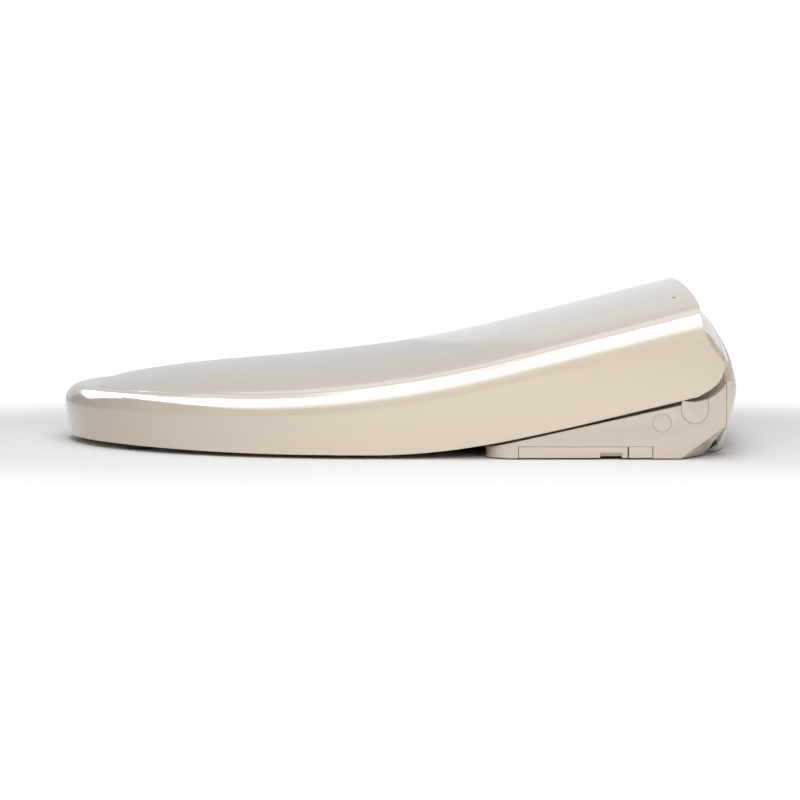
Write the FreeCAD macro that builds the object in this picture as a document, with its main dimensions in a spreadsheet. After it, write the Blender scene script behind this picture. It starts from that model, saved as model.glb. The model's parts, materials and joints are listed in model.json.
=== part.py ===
"""Electric bidet seat: hinged lid and heated seat ring on a spray unit that slides off a bolted base plate.

Millimetres. X runs across the bowl, +Y to the rear, +Z up. The origin is midway between the two bowl bolts,
on the rim plane that the seat stands on.
"""
import FreeCAD, Part
import math
import os

import Sketcher

V = FreeCAD.Vector
doc = FreeCAD.newDocument("bidet_seat")
sheet = doc.addObject("Spreadsheet::Sheet", "dims")

DIMENSIONS = {
    # lid, seen from above: half an ellipse at the front, straight sides behind it
    "lid_half": 190.0,
    "nose_long": 245.0,
    "nose_centre": -225.0,
    "lid_wall": 3.0,
    "lid_round": 13.0,
    "dome_inset": 14.0,
    "dome_foot": 8.5,
    # the lid's crowned top: a flat ledge that bends up to a slope, with a dome on it
    "ledge_low": 43.0,
    "ledge_slope": 0.25,
    "ledge_break": -230.0,
    "ledge_bend": 814.0,
    "crown_rise": 20.0,
    "crown_half": 175.0,
    # the lid's lower edge, the hem, which the seat and the unit follow
    "hem_low": 3.0,
    "hem_slope": 0.2412,
    "hem_break": -173.9,
    "hem_bend": 470.0,
    # the one hinge axis that seat and lid share
    "pivot_back": 5.0,
    "pivot_up": 70.0,
    "skirt_reach": 23.2,
    "shaft_radius": 4.5,
    "shaft_play": 0.1,
    # seat ring
    "seat_half": 184.5,
    "seat_nose": 239.5,
    "seat_lift": 2.0,
    "seat_top": 29.0,
    "seat_wall": 3.0,
    "seat_back": 72.0,
    "hole_half": 107.0,
    "hole_front": 165.0,
    "hole_rear": 125.0,
    "hole_centre": -245.0,
    "arm_inner": 172.5,
    "arm_outer": 184.0,
    "arm_boss": 15.0,
    # spray unit casing
    "case_half": 192.5,
    "core_half": 170.5,
    "case_wall": 2.6,
    "case_floor": 1.0,
    "case_front_reach": 69.0,
    "case_top": 112.0,
    "case_crown": 21.0,
    "rear_crown": 14.0,
    "heel_back": 43.0,
    "heel_crown": 48.0,
    "shelf_height": 11.7,
    "shelf_slope": 0.2228,
    "shelf_start": -128.0,
    "shelf_reach": 28.0,
    "seam_back": 29.0,
    "seam_gap": 0.3,
    "hump_half": 46.0,
    "hump_low": 30.5,
    "hump_slope": 0.385,
    # underside tunnel that the base plate slides in
    "tunnel_half": 101.0,
    "tunnel_front": -53.0,
    "tunnel_high": 9.0,
    "tray_floor": 2.5,
    # base plate and bolt sliders
    "plate_half": 96.0,
    "plate_front": -46.0,
    "plate_depth": 68.0,
    "plate_low": 1.0,
    "plate_thick": 4.0,
    "bolt_spacing": 140.0,
    "bolt_hole": 9.0,
    "bolt_slot": 26.0,
    "slider_wide": 44.0,
    "slider_deep": 34.0,
    "slider_thick": 3.0,
    # side panel: scent filter drawer and release button
    "drawer_front": -121.6,
    "drawer_long": 79.2,
    "drawer_high": 8.1,
    "drawer_deep": 62.0,
    "button_front": -41.6,
    "button_long": 17.2,
    "panel_low": 1.2,
    "panel_gap": 0.4,
    # spray wand, which leans forwards and down
    "wand_lean": 22.0,
    "port_front": -112.0,
    "port_up": 14.5,
    "wand_radius": 5.5,
    "sleeve_radius": 7.2,
    "cradle_radius": 9.2,
    "cradle_long": 136.0,
    "gear_module": 1.0,
    "pinion_teeth": 12.0,
    "pinion_along": 85.0,
    "rack_line": 8.6,
}
for row, (alias, value) in enumerate(DIMENSIONS.items(), start=1):
    sheet.set(f"A{row}", alias)
    sheet.set(f"B{row}", str(value))
    sheet.setAlias(f"B{row}", alias)
doc.recompute()

PIVOT = V(0, DIMENSIONS["pivot_back"], DIMENSIONS["pivot_up"])
PIECES = []


# ---------------------------------------------------------------- helpers

def dim(alias):
    """A driving dimension, read back from the sheet."""
    return float(sheet.get(alias))


def drive(thing, prop, value):
    """Binds a property to an expression, or to a plain number."""
    thing.setExpression(prop, str(value))


def put(thing, x, y, z):
    """Binds the object's position."""
    for axis, value in zip("xyz", (x, y, z)):
        drive(thing, f"Placement.Base.{axis}", value)


def block(x, y, z, dx, dy, dz, name="block"):
    """A box from its lowest corner and its three sizes."""
    box = doc.addObject("Part::Box", name)
    for prop, value in (("Length", dx), ("Width", dy), ("Height", dz)):
        drive(box, prop, value)
    put(box, x, y, z)
    return box


TURNS = {
    "z": FreeCAD.Rotation(),
    "x": FreeCAD.Rotation(V(0, 1, 0), 90),
    "y": FreeCAD.Rotation(V(1, 0, 0), -90),
}


def rod(axis, x, y, z, radius, length, name="rod"):
    """A cylinder that runs from its base centre along one axis."""
    cylinder = doc.addObject("Part::Cylinder", name)
    drive(cylinder, "Radius", radius)
    drive(cylinder, "Height", length)
    cylinder.Placement.Rotation = TURNS[axis]
    put(cylinder, x, y, z)
    return cylinder


def joined(*shapes, name="joined"):
    """One solid from several."""
    fuse = doc.addObject("Part::MultiFuse", name)
    fuse.Shapes = list(shapes)
    return fuse


def cut(base, *tools, name="cut"):
    """The base with the tools taken away."""
    difference = doc.addObject("Part::Cut", name)
    difference.Base = base
    difference.Tool = tools[0] if len(tools) == 1 else joined(*tools)
    return difference


def grouped(*shapes, name="group"):
    """Separate solids kept as one compound."""
    compound = doc.addObject("Part::Compound", name)
    compound.Links = list(shapes)
    return compound


def held(shape, name="held"):
    """A plain shape as a document object."""
    feature = doc.addObject("Part::Feature", name)
    feature.Shape = shape
    return feature


def piece(thing, label):
    """Names a finished sub-part and lists it for export."""
    thing.Label = label
    PIECES.append(thing)
    return thing


def tube(axis, x, y, z, outer, inner, length):
    """A cylinder with a bore right through it."""
    return cut(rod(axis, x, y, z, outer, length), rod(axis, x, y, z, inner, length))


class Sketched:
    """A PartDesign body whose features come from constrained sketches on its own planes."""

    def __init__(self, label):
        self.body = doc.addObject("PartDesign::Body", label + "_body")
        PIECES.append(self.body)
        self.body.Label = label
        self.count = 0

    def sketch(self, plane, offset=0):
        """An empty sketch on an origin plane, moved along the plane's normal."""
        self.count += 1
        sketch = self.body.newObject("Sketcher::SketchObject", f"{self.body.Name}_sketch{self.count}")
        features = self.body.Origin.OriginFeatures
        sketch.AttachmentSupport = [(next(f for f in features if f.Role == plane), "")]
        sketch.MapMode = "FlatFace"
        drive(sketch, "AttachmentOffset.Base.z", offset)
        return sketch

    def rectangle(self, plane, left, low, wide, high, offset=0):
        """A rectangle from its lower left corner and its size."""
        sketch = self.sketch(plane, offset)
        corners = [V(0, 0, 0), V(10, 0, 0), V(10, 10, 0), V(0, 10, 0)]
        for k in range(4):
            sketch.addGeometry(Part.LineSegment(corners[k], corners[(k + 1) % 4]))
        for k in range(4):
            sketch.addConstraint(Sketcher.Constraint("Coincident", k, 2, (k + 1) % 4, 1))
        for k in (0, 2):
            sketch.addConstraint(Sketcher.Constraint("Horizontal", k))
            sketch.addConstraint(Sketcher.Constraint("Vertical", k + 1))
        for name, kind, value, line, start in (
            ("left", "DistanceX", left, 0, 10.0),
            ("low", "DistanceY", low, 0, 10.0),
        ):
            index = sketch.addConstraint(Sketcher.Constraint(kind, -1, 1, line, 1, start))
            sketch.renameConstraint(index, name)
            sketch.setExpression(f"Constraints.{name}", str(value))
        for name, kind, value, line in (("wide", "DistanceX", wide, 0), ("high", "DistanceY", high, 1)):
            index = sketch.addConstraint(Sketcher.Constraint(kind, line, 1, line, 2, 10.0))
            sketch.renameConstraint(index, name)
            sketch.setExpression(f"Constraints.{name}", str(value))
        return sketch

    def circle(self, plane, across, up, radius, offset=0):
        """A circle from its centre and radius."""
        sketch = self.sketch(plane, offset)
        sketch.addGeometry(Part.Circle(V(10, 10, 0), V(0, 0, 1), 5))
        for name, kind, value in (("across", "DistanceX", across), ("up", "DistanceY", up)):
            index = sketch.addConstraint(Sketcher.Constraint(kind, -1, 1, 0, 3, 10.0))
            sketch.renameConstraint(index, name)
            sketch.setExpression(f"Constraints.{name}", str(value))
        index = sketch.addConstraint(Sketcher.Constraint("Radius", 0, 5.0))
        sketch.renameConstraint(index, "size")
        sketch.setExpression("Constraints.size", str(radius))
        return sketch

    def pad(self, sketch, length, reverse=False):
        """Material along the sketch's normal."""
        feature = self.body.newObject("PartDesign::Pad", sketch.Name + "_pad")
        feature.Profile = sketch
        drive(feature, "Length", length)
        feature.Reversed = reverse
        return feature

    def pocket(self, sketch, length, reverse=False):
        """A recess against the sketch's normal, or along it when reversed."""
        feature = self.body.newObject("PartDesign::Pocket", sketch.Name + "_pocket")
        feature.Profile = sketch
        drive(feature, "Length", length)
        feature.Reversed = reverse
        return feature

    def round_edges(self, radius, wanted):
        """Fillets the edges that the test picks."""
        doc.recompute()
        last = self.body.Tip
        names = [f"Edge{k + 1}" for k, edge in enumerate(last.Shape.Edges) if wanted(edge)]
        feature = self.body.newObject("PartDesign::Fillet", self.body.Name + f"_fillet{self.count}")
        feature.Base = (last, names)
        drive(feature, "Radius", radius)
        return feature


def upright(edge):
    """True for a straight edge along Z."""
    box = edge.BoundBox
    return box.XLength < 0.01 and box.YLength < 0.01 and box.ZLength > 0.5


# ---------------------------------------------------------------- shared curves

def wire_of(*edges):
    """A closed wire, its edges sorted end to end."""
    return Part.Wire(Part.__sortEdges__(list(edges)))


def line(a, b):
    """A straight edge."""
    return Part.makeLine(V(*a), V(*b))


def bent_path(low, slope, break_at, radius, start, end):
    """A level line, an arc and a rising line in the YZ plane, as edges, with the arc tangent to both."""
    lean = math.atan(slope)
    reach = radius * math.tan(lean / 2)
    first = (0, break_at - reach, low)
    last = (0, break_at + reach * math.cos(lean), low + reach * math.sin(lean))
    middle = (0, first[1] + radius * math.sin(lean / 2), low + radius * (1 - math.cos(lean / 2)))
    tail = (0, end, low + slope * (end - break_at))
    arc = Part.Arc(V(*first), V(*middle), V(*last)).toShape()
    return [line((0, start, low), first), arc, line(last, tail)], (0, start, low), tail


def across(edges, half):
    """A closed YZ outline pushed out to a solid that spans both sides of the middle."""
    face = Part.Face(wire_of(*edges))
    face.translate(V(-half, 0, 0))
    return face.extrude(V(2 * half, 0, 0))


def below_path(path, depth, half):
    """Everything under a YZ path, as a solid."""
    edges, start, end = path
    under_start = (0, start[1], depth)
    under_end = (0, end[1], depth)
    return across(edges + [line(end, under_end), line(under_end, under_start), line(under_start, start)], half)


FRONT, REAR, SIDE = -520.0, 90.0, 260.0


def hem_path(lift):
    """The lid's lower edge, raised by lift."""
    return bent_path(dim("hem_low") + lift, dim("hem_slope"), dim("hem_break"), dim("hem_bend"), FRONT, REAR)


def ledge_path(drop):
    """The ledge round the lid's dome, lowered by drop."""
    low = dim("ledge_low") - drop
    return bent_path(low, dim("ledge_slope"), dim("ledge_break"), dim("ledge_bend"), FRONT, REAR)


def nose_outline(long, half, centre, rear, z):
    """Half an ellipse at the front and straight sides back to the rear, as a closed wire at a height."""
    ellipse = Part.Ellipse(V(0, centre - long, z), V(half, centre, z), V(0, centre, z))
    quarter = math.pi / 2
    nose = Part.ArcOfEllipse(ellipse, -quarter, quarter).toShape()
    a, b = nose.Vertexes[0].Point, nose.Vertexes[1].Point
    if a.x < b.x:
        a, b = b, a
    right, left = V(a.x, rear, z), V(b.x, rear, z)
    return wire_of(nose, Part.makeLine(a, right), Part.makeLine(right, left), Part.makeLine(left, b))


def nose_prism(inset, low, high, long, half, rear=REAR):
    """The nose outline, drawn in by inset, as an upright prism."""
    outline = nose_outline(long - inset, half - inset, dim("nose_centre"), rear, low)
    return Part.Face(outline).extrude(V(0, 0, high - low))


def egg_prism(outset, low, high):
    """The seat's opening, grown by outset, as an upright prism."""
    centre, half = dim("hole_centre"), dim("hole_half") + outset
    edges = []
    for reach in (-(dim("hole_front") + outset), dim("hole_rear") + outset):
        if abs(reach) > half:
            ellipse = Part.Ellipse(V(0, centre + reach, low), V(half, centre, low), V(0, centre, low))
            edges.append(Part.ArcOfEllipse(ellipse, -math.pi / 2, math.pi / 2).toShape())
    return Part.Face(wire_of(*edges)).extrude(V(0, 0, high - low))


def rim_edges(shape, face_high):
    """Edges between a body's upright side and its top, above a height and clear of the rear plane."""
    found = []
    for edge in shape.Edges:
        sides = [f for f in shape.Faces if any(e.isSame(edge) for e in f.Edges)]
        normals = [abs(f.normalAt(*f.Surface.parameter(edge.CenterOfMass)).z) for f in sides]
        level = min(v.Z for v in edge.Vertexes) > face_high
        inside = max(v.Y for v in edge.Vertexes) < REAR - 1 or edge.BoundBox.YLength > 1
        if level and inside and len(normals) == 2 and max(normals) > 0.9 and min(normals) < 0.1:
            found.append(edge)
    return found


# ---------------------------------------------------------------- lid

def dome(drop):
    """Everything under the lid's domed top, as a loft of parabola-like arcs from front to rear."""
    half = dim("crown_half")
    rise = dim("crown_rise") / half ** 2
    long, wide = dim("nose_long") - dim("dome_inset"), dim("lid_half") - dim("dome_inset")
    bend, slope, turn = dim("ledge_bend"), dim("ledge_slope"), dim("ledge_break")
    reach = bend * math.tan(math.atan(slope) / 2)
    sections = []
    for y in [-500, -470, -440, -410, -380, -350, -320, -290, -260, -230, -200, -170, -140, -100, -50, 0, 50, 90]:
        along = min(0.0, y - dim("nose_centre")) / long
        crest = rise * wide ** 2 * (1 - along ** 2)
        into = y - (turn - reach)
        ledge = dim("ledge_low")
        if into > 0:
            ledge += bend - math.sqrt(bend ** 2 - min(into, bend * math.sin(math.atan(slope))) ** 2)
            ledge += slope * max(0.0, into - bend * math.sin(math.atan(slope)))
        top = ledge + crest - drop
        side = SIDE - 20
        low = top - rise * side ** 2
        arc = Part.Arc(V(-side, y, low), V(0, y, top), V(side, y, low)).toShape()
        down = [V(side, y, low), V(side, y, -60), V(-side, y, -60), V(-side, y, low)]
        sections.append(Part.Wire([arc] + [Part.makeLine(down[k], down[k + 1]) for k in range(3)]))
    return Part.makeLoft(sections, True, False)


def lid_body(inset):
    """The lid's outer form drawn in by inset: a rounded ledge body with the dome standing on it."""
    long, half = dim("nose_long"), dim("lid_half")
    ledge = nose_prism(inset, -20, 160, long, half).common(below_path(ledge_path(inset), -60, SIDE))
    ledge = ledge.makeFillet(dim("lid_round") - inset, rim_edges(ledge, 30 - inset))
    foot = nose_prism(inset + dim("dome_foot"), -20, 160, long, half).common(dome(inset))
    return ledge.fuse(foot)


def lid_side_view():
    """What the lid keeps, seen from the side: above its hem, and ahead of its leaning rear edge."""
    edges, start, _ = hem_path(0)
    lean = math.atan(dim("hem_slope"))
    reach = dim("skirt_reach")
    touch = PIVOT + V(0, math.sin(lean), -math.cos(lean)) * reach
    back = PIVOT + V(0, math.cos(0.05), -math.sin(0.05)) * reach
    middle_turn = (-math.pi / 2 + lean - 0.05) / 2
    middle = PIVOT + V(0, math.cos(middle_turn), math.sin(middle_turn)) * reach
    rising = edges[2].Vertexes[0].Point
    shoulder, crest, above = V(0, 13, 93), V(0, 9.5, 106), V(0, -6, 160)
    outline = edges[:2] + [
        Part.makeLine(rising, touch),
        Part.Arc(touch, middle, back).toShape(),
        Part.makeLine(back, shoulder),
        Part.makeLine(shoulder, crest),
        Part.makeLine(crest, above),
        line((0, -6, 160), (0, FRONT, 160)),
        line((0, FRONT, 160), start),
    ]
    return across(outline, SIDE)


def mirrored(shape):
    """The same shape on the other side of the middle."""
    return shape.mirror(V(0, 0, 0), V(1, 0, 0))


def pin_at_pivot(start, end, radius):
    """A cylinder on the hinge axis between two distances from the middle, on the right."""
    return Part.makeCylinder(radius, end - start, V(start, PIVOT.y, PIVOT.z), V(1, 0, 0))


def both_sides(shape):
    """The shape and its mirror image, fused."""
    return shape.fuse(mirrored(shape))


def make_lid():
    """Lid shell with the two hinge bosses inside its skirts."""
    wall = dim("lid_wall")
    shell = lid_body(0).cut(lid_body(wall)).common(lid_side_view())
    inner_face = dim("lid_half") - wall
    boss = pin_at_pivot(dim("arm_outer") + 0.6, inner_face + 0.5, 11)
    bore = pin_at_pivot(dim("arm_outer"), inner_face + 1.5, dim("shaft_radius") + dim("shaft_play"))
    shell = shell.fuse(both_sides(boss)).cut(both_sides(bore)).removeSplitter()
    piece(held(shell, "lid_shell"), "lid_shell")

    buffers = []
    for x, y, seat_gap in ((118, -340, 0.4), (162, -200, 0.4)):
        for side in (-1, 1):
            top = 75 if y > -300 else 70
            stem = Part.makeCylinder(7, 60, V(side * x, y, top - 40))
            under_lid = lid_body(wall + 0.05)
            over_seat = below_path(hem_path(dim("seat_top") + seat_gap), -60, SIDE)
            buffers.append(stem.common(under_lid).cut(over_seat))
    piece(held(Part.makeCompound(buffers), "lid_buffers"), "lid_buffers")


# ---------------------------------------------------------------- seat

def seat_body(inset, floor_lift):
    """The seat ring's form drawn in by inset, between a lifted hem and its top."""
    top = dim("seat_top") - inset
    prism = nose_prism(inset, -20, 120, dim("seat_nose"), dim("seat_half"), rear=-30)
    ring = prism.cut(egg_prism(inset, -30, 130))
    ring = ring.common(below_path(hem_path(top), -60, SIDE))
    ring = ring.makeFillet(max(2.0, 10 - inset), rim_edges(ring, 12))
    ring = ring.cut(below_path(hem_path(floor_lift), -60, SIDE))
    behind = Part.makeCylinder(dim("seat_back") + inset, 2 * SIDE, V(-SIDE, PIVOT.y, PIVOT.z), V(1, 0, 0))
    return ring.cut(behind)


def hump_body(grow, lower=-5.0):
    """The spray housing that stands up in the middle of the unit, grown by grow."""
    low = dim("hump_low") + grow + 112 * dim("hump_slope")
    start, end = (0, -125, low - 125 * dim("hump_slope")), (0, -40, low - 40 * dim("hump_slope"))
    return below_path(([line(start, end)], start, end), lower, dim("hump_half") + grow)


def arm_outline(inset):
    """A hinge arm seen from the side: from the ring's rear to the round boss on the pivot."""
    reach = dim("arm_boss") - inset
    lean = math.atan(dim("hem_slope"))
    under = PIVOT + V(0, math.sin(lean), -math.cos(lean)) * reach
    top_turn = math.radians(100)
    over = PIVOT + V(0, math.cos(top_turn), math.sin(top_turn)) * reach
    rear = PIVOT + V(0, reach, 0)
    low_front = V(0, -88, 16 + dim("hem_slope") * 32 + dim("seat_lift") + inset)
    high_front = V(0, -88, 16 + dim("hem_slope") * 32 + dim("seat_top") - 8 - inset)
    return [
        Part.makeLine(low_front, under),
        Part.Arc(under, rear, over).toShape(),
        Part.makeLine(over, high_front),
        Part.makeLine(high_front, low_front),
    ]


def make_seat():
    """Heated seat: top shell with hinge arms, base plate, heater film and buffers."""
    wall = dim("seat_wall")
    lift = dim("seat_lift")
    arch = hump_body(3.0, lower=-50)
    arch_skin = hump_body(3.0 + 2.2, lower=-50)
    arm = Part.Face(wire_of(*arm_outline(0)))
    arm.translate(V(dim("arm_inner"), 0, 0))
    arm = arm.extrude(V(dim("arm_outer") - dim("arm_inner"), 0, 0))
    bore = pin_at_pivot(dim("arm_inner") - 1, dim("arm_outer") + 1, dim("shaft_radius") + dim("shaft_play"))
    whole = seat_body(0, lift).cut(arch)
    hollow = seat_body(wall, lift - 5).cut(arch_skin)
    room_for_arm = both_sides(arm)
    shell = whole.cut(hollow).fuse(room_for_arm).cut(both_sides(bore)).removeSplitter()
    piece(held(shell, "seat_top"), "seat_top")

    floor = seat_body(wall + 0.25, lift).common(below_path(hem_path(lift + 3), -60, SIDE))
    floor = floor.cut(arch_skin).cut(both_sides(arm))
    piece(held(floor, "seat_base"), "seat_base")

    under_skin = dim("seat_top") - wall - 0.2
    film = nose_prism(28, -20, 120, dim("seat_nose"), dim("seat_half"), rear=-128).cut(egg_prism(18, -30, 130))
    film = film.common(below_path(hem_path(under_skin), -60, SIDE))
    film = film.cut(below_path(hem_path(under_skin - 0.8), -70, SIDE + 5))
    piece(held(film, "seat_heater"), "seat_heater")

    pads = []
    for x, y in ((96, -398), (143, -262)):
        for side in (-1, 1):
            block_shape = Part.makeBox(34, 18, 30, V(-17, -9, 0))
            block_shape = block_shape.makeFillet(5, [e for e in block_shape.Edges if upright(e)])
            block_shape.rotate(V(0, 0, 0), V(0, 0, 1), -side * (38 if y < -300 else 76))
            block_shape.translate(V(side * x, y, 0))
            pads.append(block_shape.common(below_path(hem_path(lift), -60, SIDE)))
    piece(held(Part.makeCompound(pads), "seat_buffers"), "seat_buffers")


# ---------------------------------------------------------------- casing

REAR_UPPER = [(62.0, 37.2), (40.0, 35.6), (16.7, 36.4), (2.0, 39.3), (-12.0, 43.0)]
REAR_LOWER = [(50.2, 46.3), (48.7, 36.0), (46.2, 25.0)]
NOTCH_TOP = (53.5, 26.0)
NOTCH_RUN = 39.5 / 25.0


def heel_line(x, inset):
    """The casing's lower rear at a distance from the middle: its upper end, and its end on the ground."""
    high = V(x, REAR_LOWER[-1][0] - dim("rear_crown") * (x / 175) ** 2, REAR_LOWER[-1][1])
    low = V(x, dim("heel_back") - dim("heel_crown") * abs(x / 192) ** 3, 0)
    run = high - low
    back = V(0, inset * run.Length / run.z, 0)
    return high - back, low - back


def rear_curve(x, inset):
    """The casing's bulging rear at a distance from the middle, top to bottom, as points."""
    drop = dim("rear_crown") * (x / 175) ** 2
    points = []
    for turn, reach in REAR_UPPER:
        angle = math.radians(turn)
        points.append(V(x, PIVOT.y, PIVOT.z) + V(0, math.cos(angle), math.sin(angle)) * (reach - drop - inset))
    points += [V(x, y - drop - inset, z) for y, z in REAR_LOWER[:-1]]
    return points + [heel_line(x, inset)[0]]


def bulk_section(x, inset, low):
    """The casing's outline at a distance from the middle, run forwards to a flat face well ahead of it."""
    top = dim("case_top") - dim("case_crown") * (x / 175) ** 2 - inset
    crest = V(x, 0, top)
    bulge = rear_curve(x, inset)
    curve = Part.BSplineCurve()
    curve.interpolate([crest] + bulge)
    high, ground = heel_line(x, inset)
    heel = high + (ground - high) * ((high.z - low) / high.z)
    toe, brow = V(x, -170, low), V(x, -170, top - 170 * dim("ledge_slope"))
    return Part.Wire([
        curve.toShape(),
        Part.makeLine(bulge[-1], heel),
        Part.makeLine(heel, toe),
        Part.makeLine(toe, brow),
        Part.makeLine(brow, crest),
    ])


def plan_prism(inset):
    """The casing's plan: straight sides, rounded front corners and a hollow front edge round the bowl."""
    half = dim("case_half") - inset
    tip, curl = -145 + inset, 24
    low, high = -30, 200
    right = [V(half, 100, low), V(half, tip + curl, low), V(half - curl, tip, low), V(150, tip, low)]
    bend = V(half - curl * (1 - math.sqrt(0.5)), tip + curl * (1 - math.sqrt(0.5)), low)
    left = [V(-p.x, p.y, p.z) for p in right]
    edges = [
        Part.makeLine(right[0], right[1]),
        Part.Arc(right[1], bend, right[2]).toShape(),
        Part.makeLine(right[2], right[3]),
        Part.Arc(right[3], V(0, dim("port_front") + inset, low), left[3]).toShape(),
        Part.makeLine(left[3], left[2]),
        Part.Arc(left[2], V(-bend.x, bend.y, low), left[1]).toShape(),
        Part.makeLine(left[1], left[0]),
        Part.makeLine(left[0], right[0]),
    ]
    return Part.Face(wire_of(*edges)).extrude(V(0, 0, high - low))


def case_body(inset, low):
    """The casing's whole form drawn in by inset, standing on a height."""
    outer, half = dim("case_half") - inset, dim("core_half") - inset
    bulk = Part.makeLoft([bulk_section(outer * k / 4, inset, low) for k in range(-4, 5)], True, False)
    reach = dim("case_front_reach") - inset
    pivot_back = PIVOT.y
    barrel = Part.makeCylinder(reach, 2 * half, V(-half, pivot_back, PIVOT.z), V(1, 0, 0))
    behind = Part.makeBox(2 * half, 150, 200, V(-half, pivot_back - 9, low - 7))
    core = bulk.common(barrel.fuse(behind))
    shelf = across([
        line((0, -180, low - 5), (0, 100, low - 5)),
        line((0, 100, low - 5), (0, 100, shelf_at(100) - inset)),
        line((0, 100, shelf_at(100) - inset), (0, -180, shelf_at(-180) - inset)),
        line((0, -180, shelf_at(-180) - inset), (0, -180, low - 5)),
    ], outer + 7)
    skirt_reach = dim("shelf_reach") + inset
    skirt_room = Part.makeCylinder(skirt_reach, 500, V(-250, pivot_back, PIVOT.z), V(1, 0, 0))
    lip = Part.makeBox(500, 96, 62 - low - inset, V(-250, pivot_back - 3, low - 6))
    wings = bulk.common(shelf.fuse(lip).cut(skirt_room))
    body = core.fuse([wings, hump_body(-inset, lower=low)])
    return body.common(plan_prism(inset)).cut([notch(INLET_X, 19, inset), notch(GLAND_X, 11, inset)])


def notch(x, half, grow):
    """The room under the casing's rear where the hose or the cord comes out, grown by grow."""
    point, out = heel_frame(x)
    along = V(0, -out.z, out.y) * 70
    roof = point - out * grow
    corners = [roof - along, roof + along, roof + along + out * 120, roof - along + out * 120]
    room = Part.Face(Part.makePolygon(corners + corners[:1])).extrude(V(2 * (half + grow), 0, 0))
    room.translate(V(-half - grow, 0, 0))
    return room


def shelf_at(y):
    """Height of the side shelf."""
    return dim("shelf_height") + dim("shelf_slope") * (y - dim("shelf_start"))


def u_outline(x, radius, top):
    """The hinge service cover seen from the side: a round bottom and straight sides up to a height."""
    y, z = 6.0, 35.9
    return [
        Part.Arc(V(x, y - radius, z), V(x, y, z - radius), V(x, y + radius, z)).toShape(),
        Part.makeLine(V(x, y + radius, z), V(x, y + radius, top)),
        Part.makeLine(V(x, y + radius, top), V(x, y - radius, top)),
        Part.makeLine(V(x, y - radius, top), V(x, y - radius, z)),
    ]


PLUG = (-17.6, 26.8, 6.7)
SCREWS = [(side * x, y) for side in (1, -1) for x, y in ((112, -84), (58, -92))]
CAP = (-48.0, 14.5, 8.0)


def side_rod(x, length, y, z, radius):
    """A cylinder across the casing's side."""
    return Part.makeCylinder(radius, length, V(x, y, z), V(1, 0, 0))


def along_wand(start, end, radius):
    """A cylinder on the wand's leaning axis between two distances from the port."""
    lean = math.radians(dim("wand_lean"))
    way = V(0, math.cos(lean), math.sin(lean))
    base = V(0, dim("port_front"), dim("port_up"))
    return Part.makeCylinder(radius, end - start, base + way * start, way)


INLET_X, GLAND_X = -140.0, 148.0


def heel_frame(x):
    """A point on the sloping roof of a notch, and the direction square to it, outwards."""
    drop = dim("case_crown") * (x / 175) ** 2
    high = V(x, NOTCH_TOP[0] - drop, NOTCH_TOP[1])
    run = V(0, NOTCH_RUN, 1) * (high.z - dim("case_floor"))
    low = high - run
    out = V(0, run.z, -run.y).normalize()
    return (low + high) / 2, out


def heel_rod(x, start, end, radius):
    """A cylinder square to a notch's roof, between two depths behind it."""
    point, out = heel_frame(x)
    return Part.makeCylinder(radius, end - start, point - out * end, out)


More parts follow.
